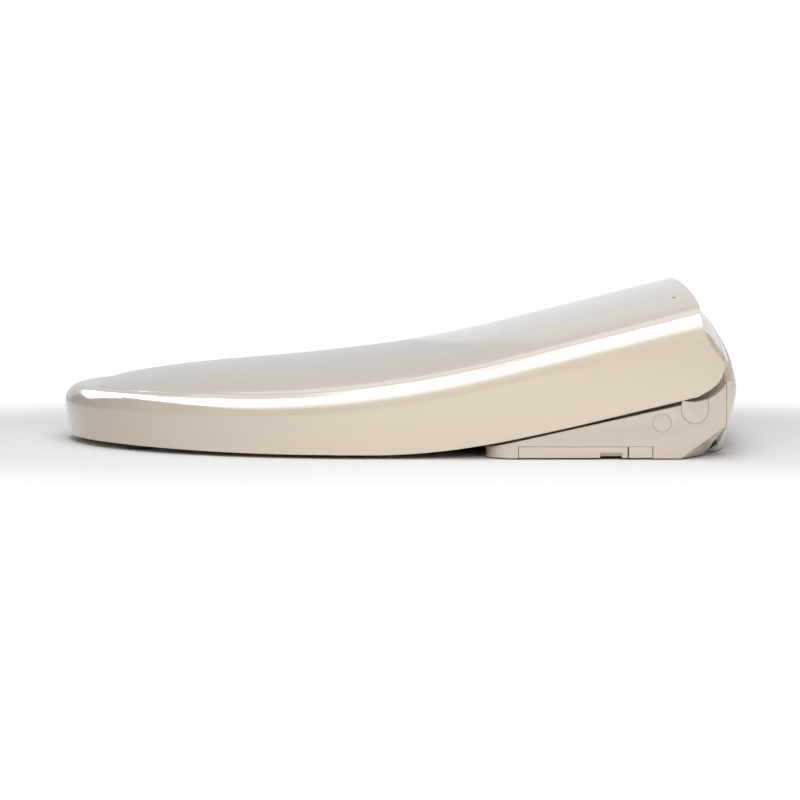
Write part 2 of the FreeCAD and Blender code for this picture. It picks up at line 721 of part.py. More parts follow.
def make_casing():
    """Upper cover, rear cover and tray of the spray unit, with the openings for what sits in them."""
    wall, floor = dim("case_wall"), dim("case_floor")
    outside = case_body(0, floor)
    inside = case_body(wall, -20)
    shell = outside.cut(inside)
    gap = dim("panel_gap")
    panel = Part.makeBox(8, dim("drawer_long") + 2 * gap, 30, V(186, dim("drawer_front") - gap, -20.4))
    button = Part.makeBox(8, dim("button_long") + 2 * gap, 30, V(186, dim("button_front") - gap, -20.4))
    tunnel = Part.makeBox(2 * dim("tunnel_half"), 120, dim("tunnel_high") + 20, V(-dim("tunnel_half"), -20, -20))
    shell = shell.cut([panel, button, tunnel])
    u_slot = Part.Face(wire_of(*u_outline(187, 9.8, 60))).extrude(V(8, 0, 0))
    shell = shell.cut([u_slot, mirrored(u_slot)])
    y, z, radius = PLUG
    shell = shell.cut([side_rod(180, 20, y, z, radius), side_rod(-200, 20, y, z, radius)])
    y, z, radius = CAP
    shell = shell.cut(side_rod(-200, 20, y, z, radius + 0.4))
    shell = shell.cut([along_wand(-30, 20, 9.5), Part.makeBox(21.8, 12, 14, V(21.1, -122, 5))])
    shell = shell.cut([heel_rod(INLET_X, -10, 12, 16.9), heel_rod(GLAND_X, -10, 12, 7.2)])
    shell = shell.cut(both_sides(pin_at_pivot(150, 182, 8.2)))
    lens = Part.makeBox(64, 20, 22, V(-32, -72, 62))
    shell = shell.cut(lens)

    for x, y in SCREWS:
        post = Part.makeCylinder(4, shelf_at(y) - 4.4, V(x, y, 3.7)).cut(Part.makeCylinder(1.5, 10, V(x, y, 1)))
        shell = shell.fuse(post)

    seam = dim("seam_back")
    ahead = Part.makeBox(500, 300, 300, V(-250, seam - dim("seam_gap") - 300, -50))
    behind = Part.makeBox(500, 300, 300, V(-250, seam, -50))
    front_part = shell.common(ahead)
    piece(held(solid_of(front_part), "upper_case"), "upper_case")
    piece(held(solid_of(shell.common(behind)), "rear_cover"), "rear_cover")

    inner = case_body(wall + 0.4, floor)
    rim = inner.cut(case_body(wall + 2.4, -20))
    tray = inner.common(Part.makeBox(500, 500, dim("tray_floor"), V(-250, -300, floor)))
    tray = tray.fuse(rim.common(Part.makeBox(500, 500, 11, V(-250, -300, floor))))
    half, high = dim("tunnel_half"), dim("tunnel_high")
    hood = Part.makeBox(2 * half + 5, 95, high + 1.5, V(-half - 2.5, dim("tunnel_front") - 2.5, floor))
    hood = hood.common(inner)
    tray = tray.fuse(hood).cut(Part.makeBox(2 * half, 160, high + 20, V(-half, dim("tunnel_front"), -20)))
    bay = Part.makeBox(80, 99.0, 34, V(122, dim("drawer_front") - 1, -23.6))
    tray = tray.cut([bay, along_wand(-30, 40, 9.6), Part.makeBox(21.8, 20, 14, V(21.1, -122, 5))])
    tray = tray.cut([heel_rod(INLET_X, -10, 25, 17.2), heel_rod(GLAND_X, -10, 14, 9.4)])
    y, z, radius = CAP
    tray = tray.cut(side_rod(-200, 25, y, z, radius + 0.8))
    for x, y in SCREWS:
        tray = tray.cut([Part.makeCylinder(3.3, 8, V(x, y, -5.1)), Part.makeCylinder(1.7, 8, V(x, y, -1))])
    piece(held(solid_of(tray), "lower_case"), "lower_case")


def solid_of(shape):
    """The largest solid of a shape."""
    return max(shape.removeSplitter().Solids, key=lambda s: s.Volume)


# ---------------------------------------------------------------- casing furniture

def make_side_parts():
    """Covers and plugs in the casing's two sides, the lens, the feet, the screws and the shaft bushes."""
    wall_in = dim("case_half") - dim("case_wall")
    room = pin_at_pivot(150, 220, dim("shelf_reach"))
    for side, name in ((1, "hinge_cover_left"), (-1, "hinge_cover_right")):
        face = Part.Face(wire_of(*u_outline(wall_in, 9.5, 60))).extrude(V(dim("case_wall"), 0, 0))
        flange = side_rod(wall_in - 1.7, 1.7, 6.0, 33.0, 9.0).fuse(side_rod(wall_in - 1.7, 1.7, 6.0, 24.5, 6.0))
        cover = face.cut(room).fuse(flange.cut(room))
        piece(held(cover if side > 0 else mirrored(cover), name), name)

    y, z, radius = PLUG
    plugs = []
    for side in (1, -1):
        plug = side_rod(wall_in, dim("case_wall") + 0.3, y, z, radius - 0.2)
        flange = side_rod(wall_in - 1.5, 1.5, y, z, radius + 0.15)
        plug = plug.fuse(flange.common(Part.makeBox(20, 20, 15, V(180, y - 10, z - 9.4))))
        plugs.append(plug if side > 0 else mirrored(plug))
    piece(held(Part.makeCompound(plugs), "screw_plugs"), "screw_plugs")

    skin = case_body(0, dim("case_floor")).cut(case_body(1.6, -20))
    lens = skin.common(Part.makeBox(63.6, 20, 21.6, V(-31.8, -72, 62.2)))
    back = case_body(1.6, -20).cut(case_body(dim("case_wall") - 0.2, -30))
    lens = lens.fuse(back.common(Part.makeBox(63.6, 20, 21.6, V(-31.8, -72, 62.2))))
    piece(held(solid_of(lens), "receiver_window"), "receiver_window")

    bushes = []
    for side in (1, -1):
        bush = pin_at_pivot(166, 171.6, 8.0).cut(pin_at_pivot(160, 180, dim("shaft_radius") + dim("shaft_play")))
        bushes.append(bush if side > 0 else mirrored(bush))
    piece(held(Part.makeCompound(bushes), "hinge_bushes"), "hinge_bushes")

    feet = [rod("z", side * 112, y, 0, 6, "dims.case_floor") for side in (1, -1) for y in (-112, -8)]
    piece(grouped(*feet), "unit_feet")

    screws = []
    for x, y in SCREWS:
        head = rod("z", x, y, "dims.case_floor", 3.2, 1.8)
        shank = rod("z", x, y, "dims.case_floor + 1", 1.5, 9)
        screws.append(joined(head, shank))
    piece(grouped(*screws), "case_screws")


def make_drawer():
    """The scent filter's drawer front with its finger notch, and the cartridge behind it."""
    face = Sketched("drawer_front")
    outline = face.rectangle("YZ_Plane", "dims.drawer_front", "dims.panel_low", "dims.drawer_long",
                             "dims.drawer_high", offset="dims.case_half - dims.case_wall - 2.6")
    face.pad(outline, "dims.case_wall + 2.5")
    face.round_edges(0.7, lambda e: e.BoundBox.XMax > 192.3 and e.BoundBox.XLength < 0.01)
    notch = face.rectangle("YZ_Plane", "dims.drawer_front + dims.drawer_long - 20", 0, 16, 5,
                           offset="dims.case_half - 4.2")
    face.pocket(notch, 6, reverse=True)
    slot = face.rectangle("XY_Plane", "dims.case_half - dims.case_wall - 2.7", "dims.drawer_front + 5", 1.8, 70,
                          offset="dims.panel_low - 1")
    face.pocket(slot, 2.2, reverse=True)

    frame_box = block("dims.case_half - dims.case_wall - 2.6 - dims.drawer_deep", "dims.drawer_front + 3", 1.5,
                      "dims.drawer_deep", "dims.drawer_long - 6", 6.9)
    cells = [
        block(f"dims.case_half - dims.case_wall - 2.6 - dims.drawer_deep + {4 + 11.2 * i}",
              f"dims.drawer_front + {5.6 + 11.8 * j}", 0, 8.6, 9.6, 20)
        for i in range(5) for j in range(6)
    ]
    piece(cut(frame_box, *cells), "deodorizer_filter")


def make_button():
    """The button that releases the unit from its base plate, its latch hook and its spring."""
    cap = Sketched("release_button")
    outline = cap.rectangle("YZ_Plane", "dims.button_front", "dims.panel_low", "dims.button_long",
                            "dims.drawer_high", offset="dims.case_half - dims.case_wall - 1.4")
    cap.pad(outline, "dims.case_wall + 1.6")
    cap.round_edges(0.8, lambda e: e.BoundBox.XMax > 192.6 and e.BoundBox.XLength < 0.01)
    stem = cap.circle("YZ_Plane", "dims.button_front + dims.button_long / 2", 5.25, 2, offset=150)
    cap.pad(stem, 39)

    folds = [V(176.6 + 2.0 * k, -26.6 - 3.6 * (k % 2), 3.8) for k in range(5)]
    leaves = []
    for start, end in zip(folds, folds[1:]):
        corners = [start, end, end + V(0.6, 0, 0), start + V(0.6, 0, 0), start]
        leaves.append(Part.Face(Part.makePolygon(corners)).extrude(V(0, 0, 3)))
    spring = leaves[0].fuse(leaves[1:]).removeSplitter()
    piece(held(spring, "button_spring"), "button_spring")


# ---------------------------------------------------------------- base plate

def make_base():
    """The plate that is bolted to the bowl, its grip pads and the two sliders that the bolts go through."""
    plate = Sketched("base_plate")
    outline = plate.rectangle("XY_Plane", "-dims.plate_half", "dims.plate_front", "2 * dims.plate_half",
                              "dims.plate_depth", offset="dims.plate_low")
    plate.pad(outline, "dims.plate_thick")
    plate.round_edges(8, upright)
    for side in (-1, 1):
        above = "dims.plate_low + dims.plate_thick + 1"
        run = "(dims.bolt_slot - dims.bolt_hole)"
        slot = plate.rectangle("XY_Plane", f"{side} * dims.bolt_spacing / 2 - {run} / 2", "-dims.bolt_hole / 2",
                               run, "dims.bolt_hole", offset=above)
        plate.pocket(slot, "dims.plate_thick + 2")
        for end in (-1, 1):
            end_round = plate.circle("XY_Plane", f"{side} * dims.bolt_spacing / 2 + {end} * {run} / 2", 0,
                                     "dims.bolt_hole / 2", offset=above)
            plate.pocket(end_round, "dims.plate_thick + 2")
    for side in (-1, 1):
        relief = plate.rectangle("XY_Plane", f"{side} * 26 - 16", "dims.plate_front + 12", 32, 44,
                                 offset="dims.plate_low + dims.plate_thick + 1")
        plate.pocket(relief, 2.6)
    pads = [rod("z", x, y, 0, 6, "dims.plate_low") for x in (-88, 0, 88) for y in (-38, 14)]
    piece(grouped(*pads), "plate_pads")
    for side, name in ((1, "bolt_slider_left"), (-1, "bolt_slider_right")):
        slider = Sketched(name)
        top = "dims.plate_low + dims.plate_thick"
        outline = slider.rectangle("XY_Plane", f"{side} * dims.bolt_spacing / 2 - dims.slider_wide / 2",
                                   "-dims.slider_deep / 2", "dims.slider_wide", "dims.slider_deep", offset=top)
        slider.pad(outline, "dims.slider_thick")
        slider.round_edges(3, upright)
        bore = slider.circle("XY_Plane", f"{side} * dims.bolt_spacing / 2", 0, "dims.bolt_hole / 2",
                             offset=top + " + dims.slider_thick + 1")
        slider.pocket(bore, "dims.slider_thick + 2")


# ---------------------------------------------------------------- hinge

def make_hinge():
    """Two soft-close dampers in the unit, and the two shafts that carry the seat and the lid."""
    inner_face = dim("lid_half") - dim("lid_wall")
    for side, name in ((1, "lid_damper"), (-1, "seat_damper")):
        barrel = pin_at_pivot(120, 164, 11)
        barrel = barrel.makeFillet(1.5, [e for e in barrel.Edges if abs(e.BoundBox.XMax - 120) < 0.01])
        barrel = barrel.fuse(pin_at_pivot(164, dim("core_half") - dim("case_wall"), 13.4))
        barrel = barrel.cut([pin_at_pivot(124, 170, dim("shaft_radius") + dim("shaft_play")),
                             pin_at_pivot(165.8, 172, 8.05)])
        piece(held(barrel if side > 0 else mirrored(barrel), name), name)
    for side, name in ((1, "lid_hinge_shaft"), (-1, "seat_hinge_shaft")):
        shaft = pin_at_pivot(125, inner_face, dim("shaft_radius"))
        groove = pin_at_pivot(140, 142, 6).cut(pin_at_pivot(139, 143, 3.6))
        shaft = shaft.cut(groove)
        piece(held(shaft if side > 0 else mirrored(shaft), name), name)


# ---------------------------------------------------------------- spray wand

def wand_box(start, end, half, low, high):
    """A box that leans with the wand: from start to end along it, and from low to high across it."""
    box = Part.makeBox(2 * half, end - start, high - low, V(-half, start, low))
    box.rotate(V(0, 0, 0), V(1, 0, 0), dim("wand_lean"))
    box.translate(V(0, dim("port_front"), dim("port_up")))
    return box


def tooth_profile(half_pitch, root, tip):
    """A trapezoidal rack tooth across the wand, as (along, across) points."""
    foot, crest = half_pitch * 0.62, half_pitch * 0.26
    return [(-foot, root), (-crest, tip), (crest, tip), (foot, root)]


def make_wand():
    """Cradle, telescopic sleeve with its rack, wand tube and tip, pinion, motor and wiper ring."""
    module, teeth = dim("gear_module"), int(dim("pinion_teeth"))
    pitch = math.pi * module
    length, radius = dim("cradle_long"), dim("sleeve_radius")
    at = dim("pinion_along")

    cradle = along_wand(0, length, dim("cradle_radius")).cut(along_wand(-1, length + 1, radius + 0.2))
    cradle = cradle.cut([along_wand(-1, 3, 8.6), wand_box(16, length + 1, 3.4, 0, 20)])
    ear = wand_box(at - 4, at + 9, 9.3, 0, 9).cut(wand_box(at - 9, at + 12, 6.4, -9, 12))
    ear = ear.cut(along_wand(1, length, radius + 0.2))
    cradle = cradle.fuse([wand_box(30, 38, 6, -15, -8.2), wand_box(96, 104, 6, -24, -8.2), ear])
    piece(held(cradle, "wand_cradle"), "wand_cradle")

    wiper = along_wand(0, 3, 8.6).cut(along_wand(-1, 4, radius + 0.15))
    piece(held(wiper, "wand_wiper"), "wand_wiper")

    sleeve = along_wand(3, length + 2, radius).cut(along_wand(-1, length + 3, dim("wand_radius") + 0.2))
    rack = wand_box(at - 6, length + 2, 2.5, radius - 0.6, dim("rack_line") - 0.9 * module)
    sleeve = sleeve.fuse(rack)
    cutters = []
    count = int((length + 2 - at) / pitch) + 2
    for k in range(-1, count - 1):
        points = tooth_profile(pitch / 2, dim("rack_line") - 0.95 * module, dim("rack_line") + 0.8 * module)
        corners = [V(-2.5, at + (k + 0.5) * pitch + along, up) for along, up in points]
        tooth = Part.Face(Part.makePolygon(corners + corners[:1])).extrude(V(5, 0, 0))
        tooth.rotate(V(0, 0, 0), V(1, 0, 0), dim("wand_lean"))
        tooth.translate(V(0, dim("port_front"), dim("port_up")))
        cutters.append(tooth)
    sleeve = sleeve.fuse(cutters)
    piece(held(solid_of(sleeve), "wand_sleeve"), "wand_sleeve")

    tube_part = along_wand(16, length - 4, dim("wand_radius")).cut(along_wand(18, length + 3, 3.2))
    piece(held(tube_part, "wand_tube"), "wand_tube")
    tip = along_wand(1, 16, dim("wand_radius"))
    tip = tip.makeFillet(2.4, [e for e in tip.Edges if e.Curve.TypeId == "Part::GeomCircle"
                               and e.CenterOfMass.y < dim("port_front") + 5])
    jets = [wand_box(along - 0.6, along + 0.6, 0.6, 3.4, 9) for along in (5, 8, 11)]
    piece(held(tip.cut(jets), "wand_tip"), "wand_tip")

    lean = math.radians(dim("wand_lean"))
    way, up = V(0, math.cos(lean), math.sin(lean)), V(0, -math.sin(lean), math.cos(lean))
    centre = V(0, dim("port_front"), dim("port_up")) + way * at + up * (dim("rack_line") + module * teeth / 2)
    gear = Part.makeCylinder(module * teeth / 2 - 1.1 * module, 5, V(-2.5, 0, 0), V(1, 0, 0))
    for k in range(teeth):
        points = tooth_profile(pitch / 2, module * teeth / 2 - 1.3 * module, module * teeth / 2 + 0.75 * module)
        corners = [V(-2.5, -along, -up_to) for along, up_to in points]
        tooth = Part.Face(Part.makePolygon(corners + corners[:1])).extrude(V(5, 0, 0))
        tooth.rotate(V(0, 0, 0), V(1, 0, 0), 360.0 * k / teeth + dim("wand_lean"))
        gear = gear.fuse(tooth)
    gear = gear.cut(Part.makeCylinder(1.5, 20, V(-10, 0, 0), V(1, 0, 0)))
    gear.translate(centre)
    piece(held(gear, "wand_pinion"), "wand_pinion")

    motor = Part.makeCylinder(12, 18, centre + V(10.4, 0, 3), V(1, 0, 0))
    motor = motor.fuse(Part.makeCylinder(1.45, 15, centre + V(-3.5, 0, 0), V(1, 0, 0)))
    plate = Part.makeBox(1.2, 34, 9, centre + V(9.3, -17, -0.5))
    bracket = Part.makeBox(1.2, 10, 22, centre + V(9.3, 1, -16))
    motor = motor.fuse([plate, bracket])
    piece(held(motor, "wand_motor"), "wand_motor")


# ---------------------------------------------------------------- water path

def swept(points, radius, bore=0.0):
    """A hose through points, with rounded bends."""
    curve = Part.BSplineCurve()
    curve.interpolate([V(*p) for p in points])
    path = Part.Wire(curve.toShape())
    start = curve.value(curve.FirstParameter)
    way = curve.tangent(curve.FirstParameter)[0]
    skin = path.makePipeShell([Part.Wire(Part.makeCircle(radius, start, way))], True, True)
    if not bore:
        return skin
    return skin.cut(path.makePipeShell([Part.Wire(Part.makeCircle(bore, start, way))], True, True))


def make_water():
    """Inlet, strainer, valve, heater, pump and the hoses between them."""
    point, out = heel_frame(INLET_X)
    nipple = Part.makeCylinder(10.3, 17, point - out * 10, out)
    flange = Part.makeCylinder(16.6, 3, point - out * 13, out)
    neck = Part.makeCylinder(8, 6, point - out * 18, out)
    nipple = nipple.fuse([flange, neck]).cut(Part.makeCylinder(6.5, 26, point - out * 18.5, out))
    piece(held(nipple, "inlet_fitting"), "inlet_fitting")

    y, z, radius = CAP
    cap = side_rod(-192.6, 6.0, y, z, radius).fuse(side_rod(-187, 32, y, z, 5.0))
    cap = cap.cut([side_rod(-180, 26, y, z, 3.6), Part.makeBox(1.6, 10, 2, V(-192.8, y - 5, z - 1))])
    windows = [Part.makeBox(4, 20, 4, V(-178 + 7 * k, y - 10, z - 2)) for k in range(3)]
    piece(held(cap.cut(windows), "inlet_filter_cap"), "inlet_filter_cap")
    housing = side_rod(-185, 36, y, z, 9.0).cut(side_rod(-186, 34, y, z, 5.6))
    housing = housing.fuse(Part.makeBox(14, 10, 10, V(-163, y + 6, z - 3))).cut(side_rod(-186, 34, y, z, 5.6))
    piece(held(housing, "filter_housing"), "filter_housing")

    body = block(-158, -22, 29, 34, 27, 15)
    coil = rod("z", -143, -9, 43, 9, 14.5)
    spigot = rod("x", -125, -12, 36, 2.8, 13)
    yoke = block(-149, -19.5, 43, 12, 21, 13)
    elbow = held(Part.makeCylinder(7, 8, point - out * 26, out))
    piece(joined(body, coil, spigot, yoke, elbow), "solenoid_valve")

    tank = block(-100, -42, 14, 70, 46, 44)
    lid_plate = block(-102, -44, 56, 74, 50, 3)
    ports = [rod("x", -112, -12, 36, 2.8, 14), rod("x", -112, -32, 40, 2.8, 14)]
    lugs = [block(x, -44, 11.5, 10, 50, 4) for x in (-96, -44)]
    piece(joined(tank, lid_plate, *ports, *lugs), "water_heater")

    barrel = rod("x", -100, 22, 33, 13, 34)
    head = rod("x", -66, 22, 33, 14.5, 14)
    nozzle = rod("x", -53, 22, 40, 2.8, 11)
    inlet = rod("z", -60, 22, 45, 2.8, 11)
    foot = block(-92, 9, 11.5, 36, 5, 13)
    piece(joined(barrel, head, nozzle, inlet, foot), "pump")

    bore, skin = 3.0, 4.2
    short = tube("x", -117, -12, 36, skin, bore, 11)
    piece(short, "valve_hose")
    piece(held(swept([(-105.5, -32, 40), (-109.5, -32, 40), (-113.5, -31, 42), (-114, -24, 52), (-114, -8, 62), (-98, 10, 65),
                      (-74, 19, 66), (-61, 22, 63), (-60, 22, 56), (-60, 22, 50)], skin, bore)), "heater_hose")
    piece(held(swept([(-47, 22, 40), (-42, 22, 40), (-31, 21, 44), (-24, 20, 56), (-16, 20, 66), (-8, 20, 70),
                      (0, 18.8, 67.4), (0, 15.8, 66.2)], skin, bore)), "wand_hose")



# ---------------------------------------------------------------- air path

DRYER = V(74, -16, 13)
FAN = V(128, -30, 11.9)


def impeller(centre, radius, high, blades, hub):
    """A squirrel cage of upright blades between a floor disc and a top ring, on a hub."""
    cage = Part.makeCylinder(radius, 1.2, centre)
    cage = cage.fuse(Part.makeCylinder(hub, high, centre))
    ring = Part.makeCylinder(radius, 1.2, centre + V(0, 0, high - 1.2))
    cage = cage.fuse(ring.cut(Part.makeCylinder(radius - 5, 3, centre + V(0, 0, high - 2))))
    for k in range(blades):
        blade = Part.makeBox(5, 1, high, centre + V(radius - 5.2, -0.5, 0))
        blade.rotate(centre + V(radius - 2.6, 0, 0), V(0, 0, 1), 24)
        blade.rotate(centre, V(0, 0, 1), 360.0 * k / blades)
        cage = cage.fuse(blade)
    return cage.common(Part.makeCylinder(radius, high, centre)).cut(Part.makeCylinder(1.55, 60, centre - V(0, 0, 5)))


def make_air():
    """Warm-air dryer with its duct and flap, and the scent fan over the filter drawer."""
    c = DRYER
    outer = Part.makeCylinder(26, 26, c).fuse(Part.makeBox(20, 20, 22, V(42, c.y - 26, c.z + 2)))
    inner = Part.makeCylinder(23.6, 21.6, c + V(0, 0, 2.2)).fuse(Part.makeBox(24, 16, 18, V(40, c.y - 24, c.z + 4)))
    housing = outer.cut([inner, Part.makeCylinder(12, 10, c - V(0, 0, 5))])
    housing = housing.cut(Part.makeCylinder(2.2, 40, c))
    piece(held(housing, "dryer_housing"), "dryer_housing")
    piece(held(impeller(c + V(0, 0, 4), 21, 17, 18, 4), "dryer_impeller"), "dryer_impeller")
    motor = Part.makeCylinder(14, 22, c + V(0, 0, 26)).fuse(Part.makeCylinder(1.5, 20, c + V(0, 0, 7)))
    piece(held(motor, "dryer_motor"), "dryer_motor")

    def duct_form(grow, ends):
        corners = [(-111 - ends, 6.2), (-111 - ends, 18 + 0), (-47, 43), (c.y - 4, 43), (c.y - 4, 13.5), (-49, 13.5)]
        shrink = -grow
        pts = [
            V(22 + shrink, corners[0][0], corners[0][1] + shrink),
            V(22 + shrink, corners[1][0], corners[1][1] - shrink),
            V(22 + shrink, corners[2][0] + shrink * 0.4, corners[2][1] - shrink),
            V(22 + shrink, corners[3][0] - shrink, corners[3][1] - shrink),
            V(22 + shrink, corners[4][0] - shrink, corners[4][1] + shrink),
            V(22 + shrink, corners[5][0] + shrink * 0.4, corners[5][1] + shrink),
        ]
        return Part.Face(Part.makePolygon(pts + pts[:1])).extrude(V(20 - 2 * shrink, 0, 0))

    duct = duct_form(0, 0).cut(duct_form(-1.3, 5))
    duct = duct.cut(Part.makeBox(4, 16, 18, V(39.5, c.y - 24, c.z + 4)))
    piece(held(duct, "dryer_duct"), "dryer_duct")

    flap = Part.makeBox(20.6, 1.4, 12.6, V(21.7, -113.2, 5.4))
    flap = flap.fuse(Part.makeCylinder(1.0, 20.6, V(21.7, -112.5, 17.6), V(1, 0, 0)))
    piece(held(flap, "dryer_flap"), "dryer_flap")

    f = FAN
    case = Part.makeBox(42, 42, 13, f - V(21, 21, 0)).cut(Part.makeBox(38.4, 38.4, 10, f - V(19.2, 19.2, -1.5)))
    case = case.cut([Part.makeCylinder(11, 6, f - V(0, 0, 3)), Part.makeCylinder(11, 6, f + V(0, 0, 10))])
    spider = Part.makeBox(26, 3, 1.5, f + V(-13, -1.5, 0)).fuse(Part.makeCylinder(4, 1.5, f))
    case = case.fuse(spider).fuse(Part.makeCylinder(1.5, 9, f))
    piece(held(case, "fan_housing"), "fan_housing")
    piece(held(impeller(f + V(0, 0, 2), 16, 9, 14, 5), "fan_impeller"), "fan_impeller")


# ---------------------------------------------------------------- electrics

def make_electrics():
    """Main board and what is soldered to it, the power block, the cord gland and the loom."""
    piece(block(-112, -44, 72, 84, 74, 1.6), "main_board")
    parts = [block(-104, -34, 73.6, 22, 22, 2.2), block(-74, -36, 73.6, 16, 12, 9), block(-46, -38, 73.6, 12, 20, 7),
             block(-100, 2, 73.6, 26, 8, 6), block(-60, 2, 73.6, 20, 14, 10)]
    parts += [rod("z", -78 + 9 * k, -12, 73.6, 3.6, 11) for k in range(4)]
    parts += [rod("z", -40, -10 + 8 * k, 73.6, 2.2, 6) for k in range(3)]
    piece(grouped(*parts), "board_components")
    legs = [rod("z", x, y, 59, 2.2, 13) for x, y in ((-96, -36), (-34, -36), (-96, 2), (-34, 2))]
    piece(grouped(*legs), "board_posts")

    shell = block(106, -6, 26, 32, 24, 24)
    fins = [block(109 + 6 * k, -4, 50, 2.2, 20, 6) for k in range(5)]
    feet = block(110, -4, 11.5, 24, 6, 15)
    piece(joined(shell, feet, *fins), "power_module")

    point, out = heel_frame(GLAND_X)
    gland = Part.makeCylinder(7, 9, point - out * 5, out).fuse(Part.makeCylinder(8.4, 2.4, point - out * 6.4, out))
    gland = gland.fuse(Part.makeCone(6.4, 4.4, 6, point + out * 3, out))
    gland = gland.cut(Part.makeCylinder(3.2, 30, point - out * 9, out))
    piece(held(gland, "cord_gland"), "cord_gland")
    inside = point - out * 8
    loom = swept([tuple(inside), tuple(inside - out * 6), (149, 19, 44), (144, 23, 60), (122, 24, 74),
                  (90, 22, 84), (40, 18, 88), (0, 14, 88), (-20, 6, 82), (-26, 0, 80)], 1.8)
    piece(held(loom, "wiring_loom"), "wiring_loom")


make_lid()
make_seat()
make_casing()
make_side_parts()
make_drawer()
make_button()
make_base()
make_hinge()
make_wand()
make_water()
make_air()
make_electrics()
doc.recompute()

for thing in doc.Objects:
    if "Invalid" in thing.State or "Error" in thing.State:
        raise ValueError(f"{thing.Label} did not recompute")
os.makedirs("parts", exist_ok=True)
for thing in PIECES:
    if thing.Shape.isNull() or not thing.Shape.isValid():
        raise ValueError(f"{thing.Label} has no valid shape")
    thing.Shape.exportStep(f"parts/{thing.Label}.step")
print(f"{len(PIECES)} sub-parts")
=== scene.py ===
"""Looks of an electric bidet seat: a glossy beige lid and seat on a low spray unit with a bolted base plate."""

import json
import logging
import math
from dataclasses import dataclass, field
from enum import Enum
from typing import Callable, Iterable, Sequence

import bmesh
import bpy
from mathutils import Matrix, Vector


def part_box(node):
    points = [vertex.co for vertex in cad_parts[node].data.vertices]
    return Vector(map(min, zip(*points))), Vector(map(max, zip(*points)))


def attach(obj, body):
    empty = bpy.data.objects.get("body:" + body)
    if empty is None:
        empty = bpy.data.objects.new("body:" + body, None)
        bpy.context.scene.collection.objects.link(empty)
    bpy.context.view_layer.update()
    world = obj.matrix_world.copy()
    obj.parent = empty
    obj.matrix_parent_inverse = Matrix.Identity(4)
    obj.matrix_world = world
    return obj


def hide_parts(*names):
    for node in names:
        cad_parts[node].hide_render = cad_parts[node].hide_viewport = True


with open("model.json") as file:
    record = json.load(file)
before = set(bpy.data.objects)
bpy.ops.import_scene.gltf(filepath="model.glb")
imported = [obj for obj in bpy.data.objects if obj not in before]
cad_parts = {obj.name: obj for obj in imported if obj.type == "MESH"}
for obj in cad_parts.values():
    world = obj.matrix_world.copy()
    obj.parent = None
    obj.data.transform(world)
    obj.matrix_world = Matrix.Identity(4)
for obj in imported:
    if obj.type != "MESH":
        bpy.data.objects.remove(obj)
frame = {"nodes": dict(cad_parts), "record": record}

log = logging.getLogger("bidet_seat")
MM = 0.001
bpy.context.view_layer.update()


# ---------------------------------------------------------------- shader maths

class Value:
    """A shader socket that arithmetic can be written with."""

    def __init__(self, graph: "Graph", socket: bpy.types.NodeSocket) -> None:
        """Wraps one output socket of a graph."""
        self.graph = graph
        self.socket = socket

    def maths(self, operation: str, *values: "Value | float") -> "Value":
        """Adds a Math node whose inputs are the given values."""
        return self.graph.node("ShaderNodeMath", {"operation": operation}, dict(enumerate(values)))

    def __add__(self, other: "Value | float") -> "Value":
        """Sum."""
        return self.maths("ADD", self, other)

    def __rsub__(self, other: float) -> "Value":
        """Difference, with a plain number first."""
        return self.maths("SUBTRACT", other, self)

    def __mul__(self, other: "Value | float") -> "Value":
        """Product."""
        return self.maths("MULTIPLY", self, other)

    def __gt__(self, other: float) -> "Value":
        """A mask that is 1 where the value is larger."""
        return self.maths("GREATER_THAN", self, other)


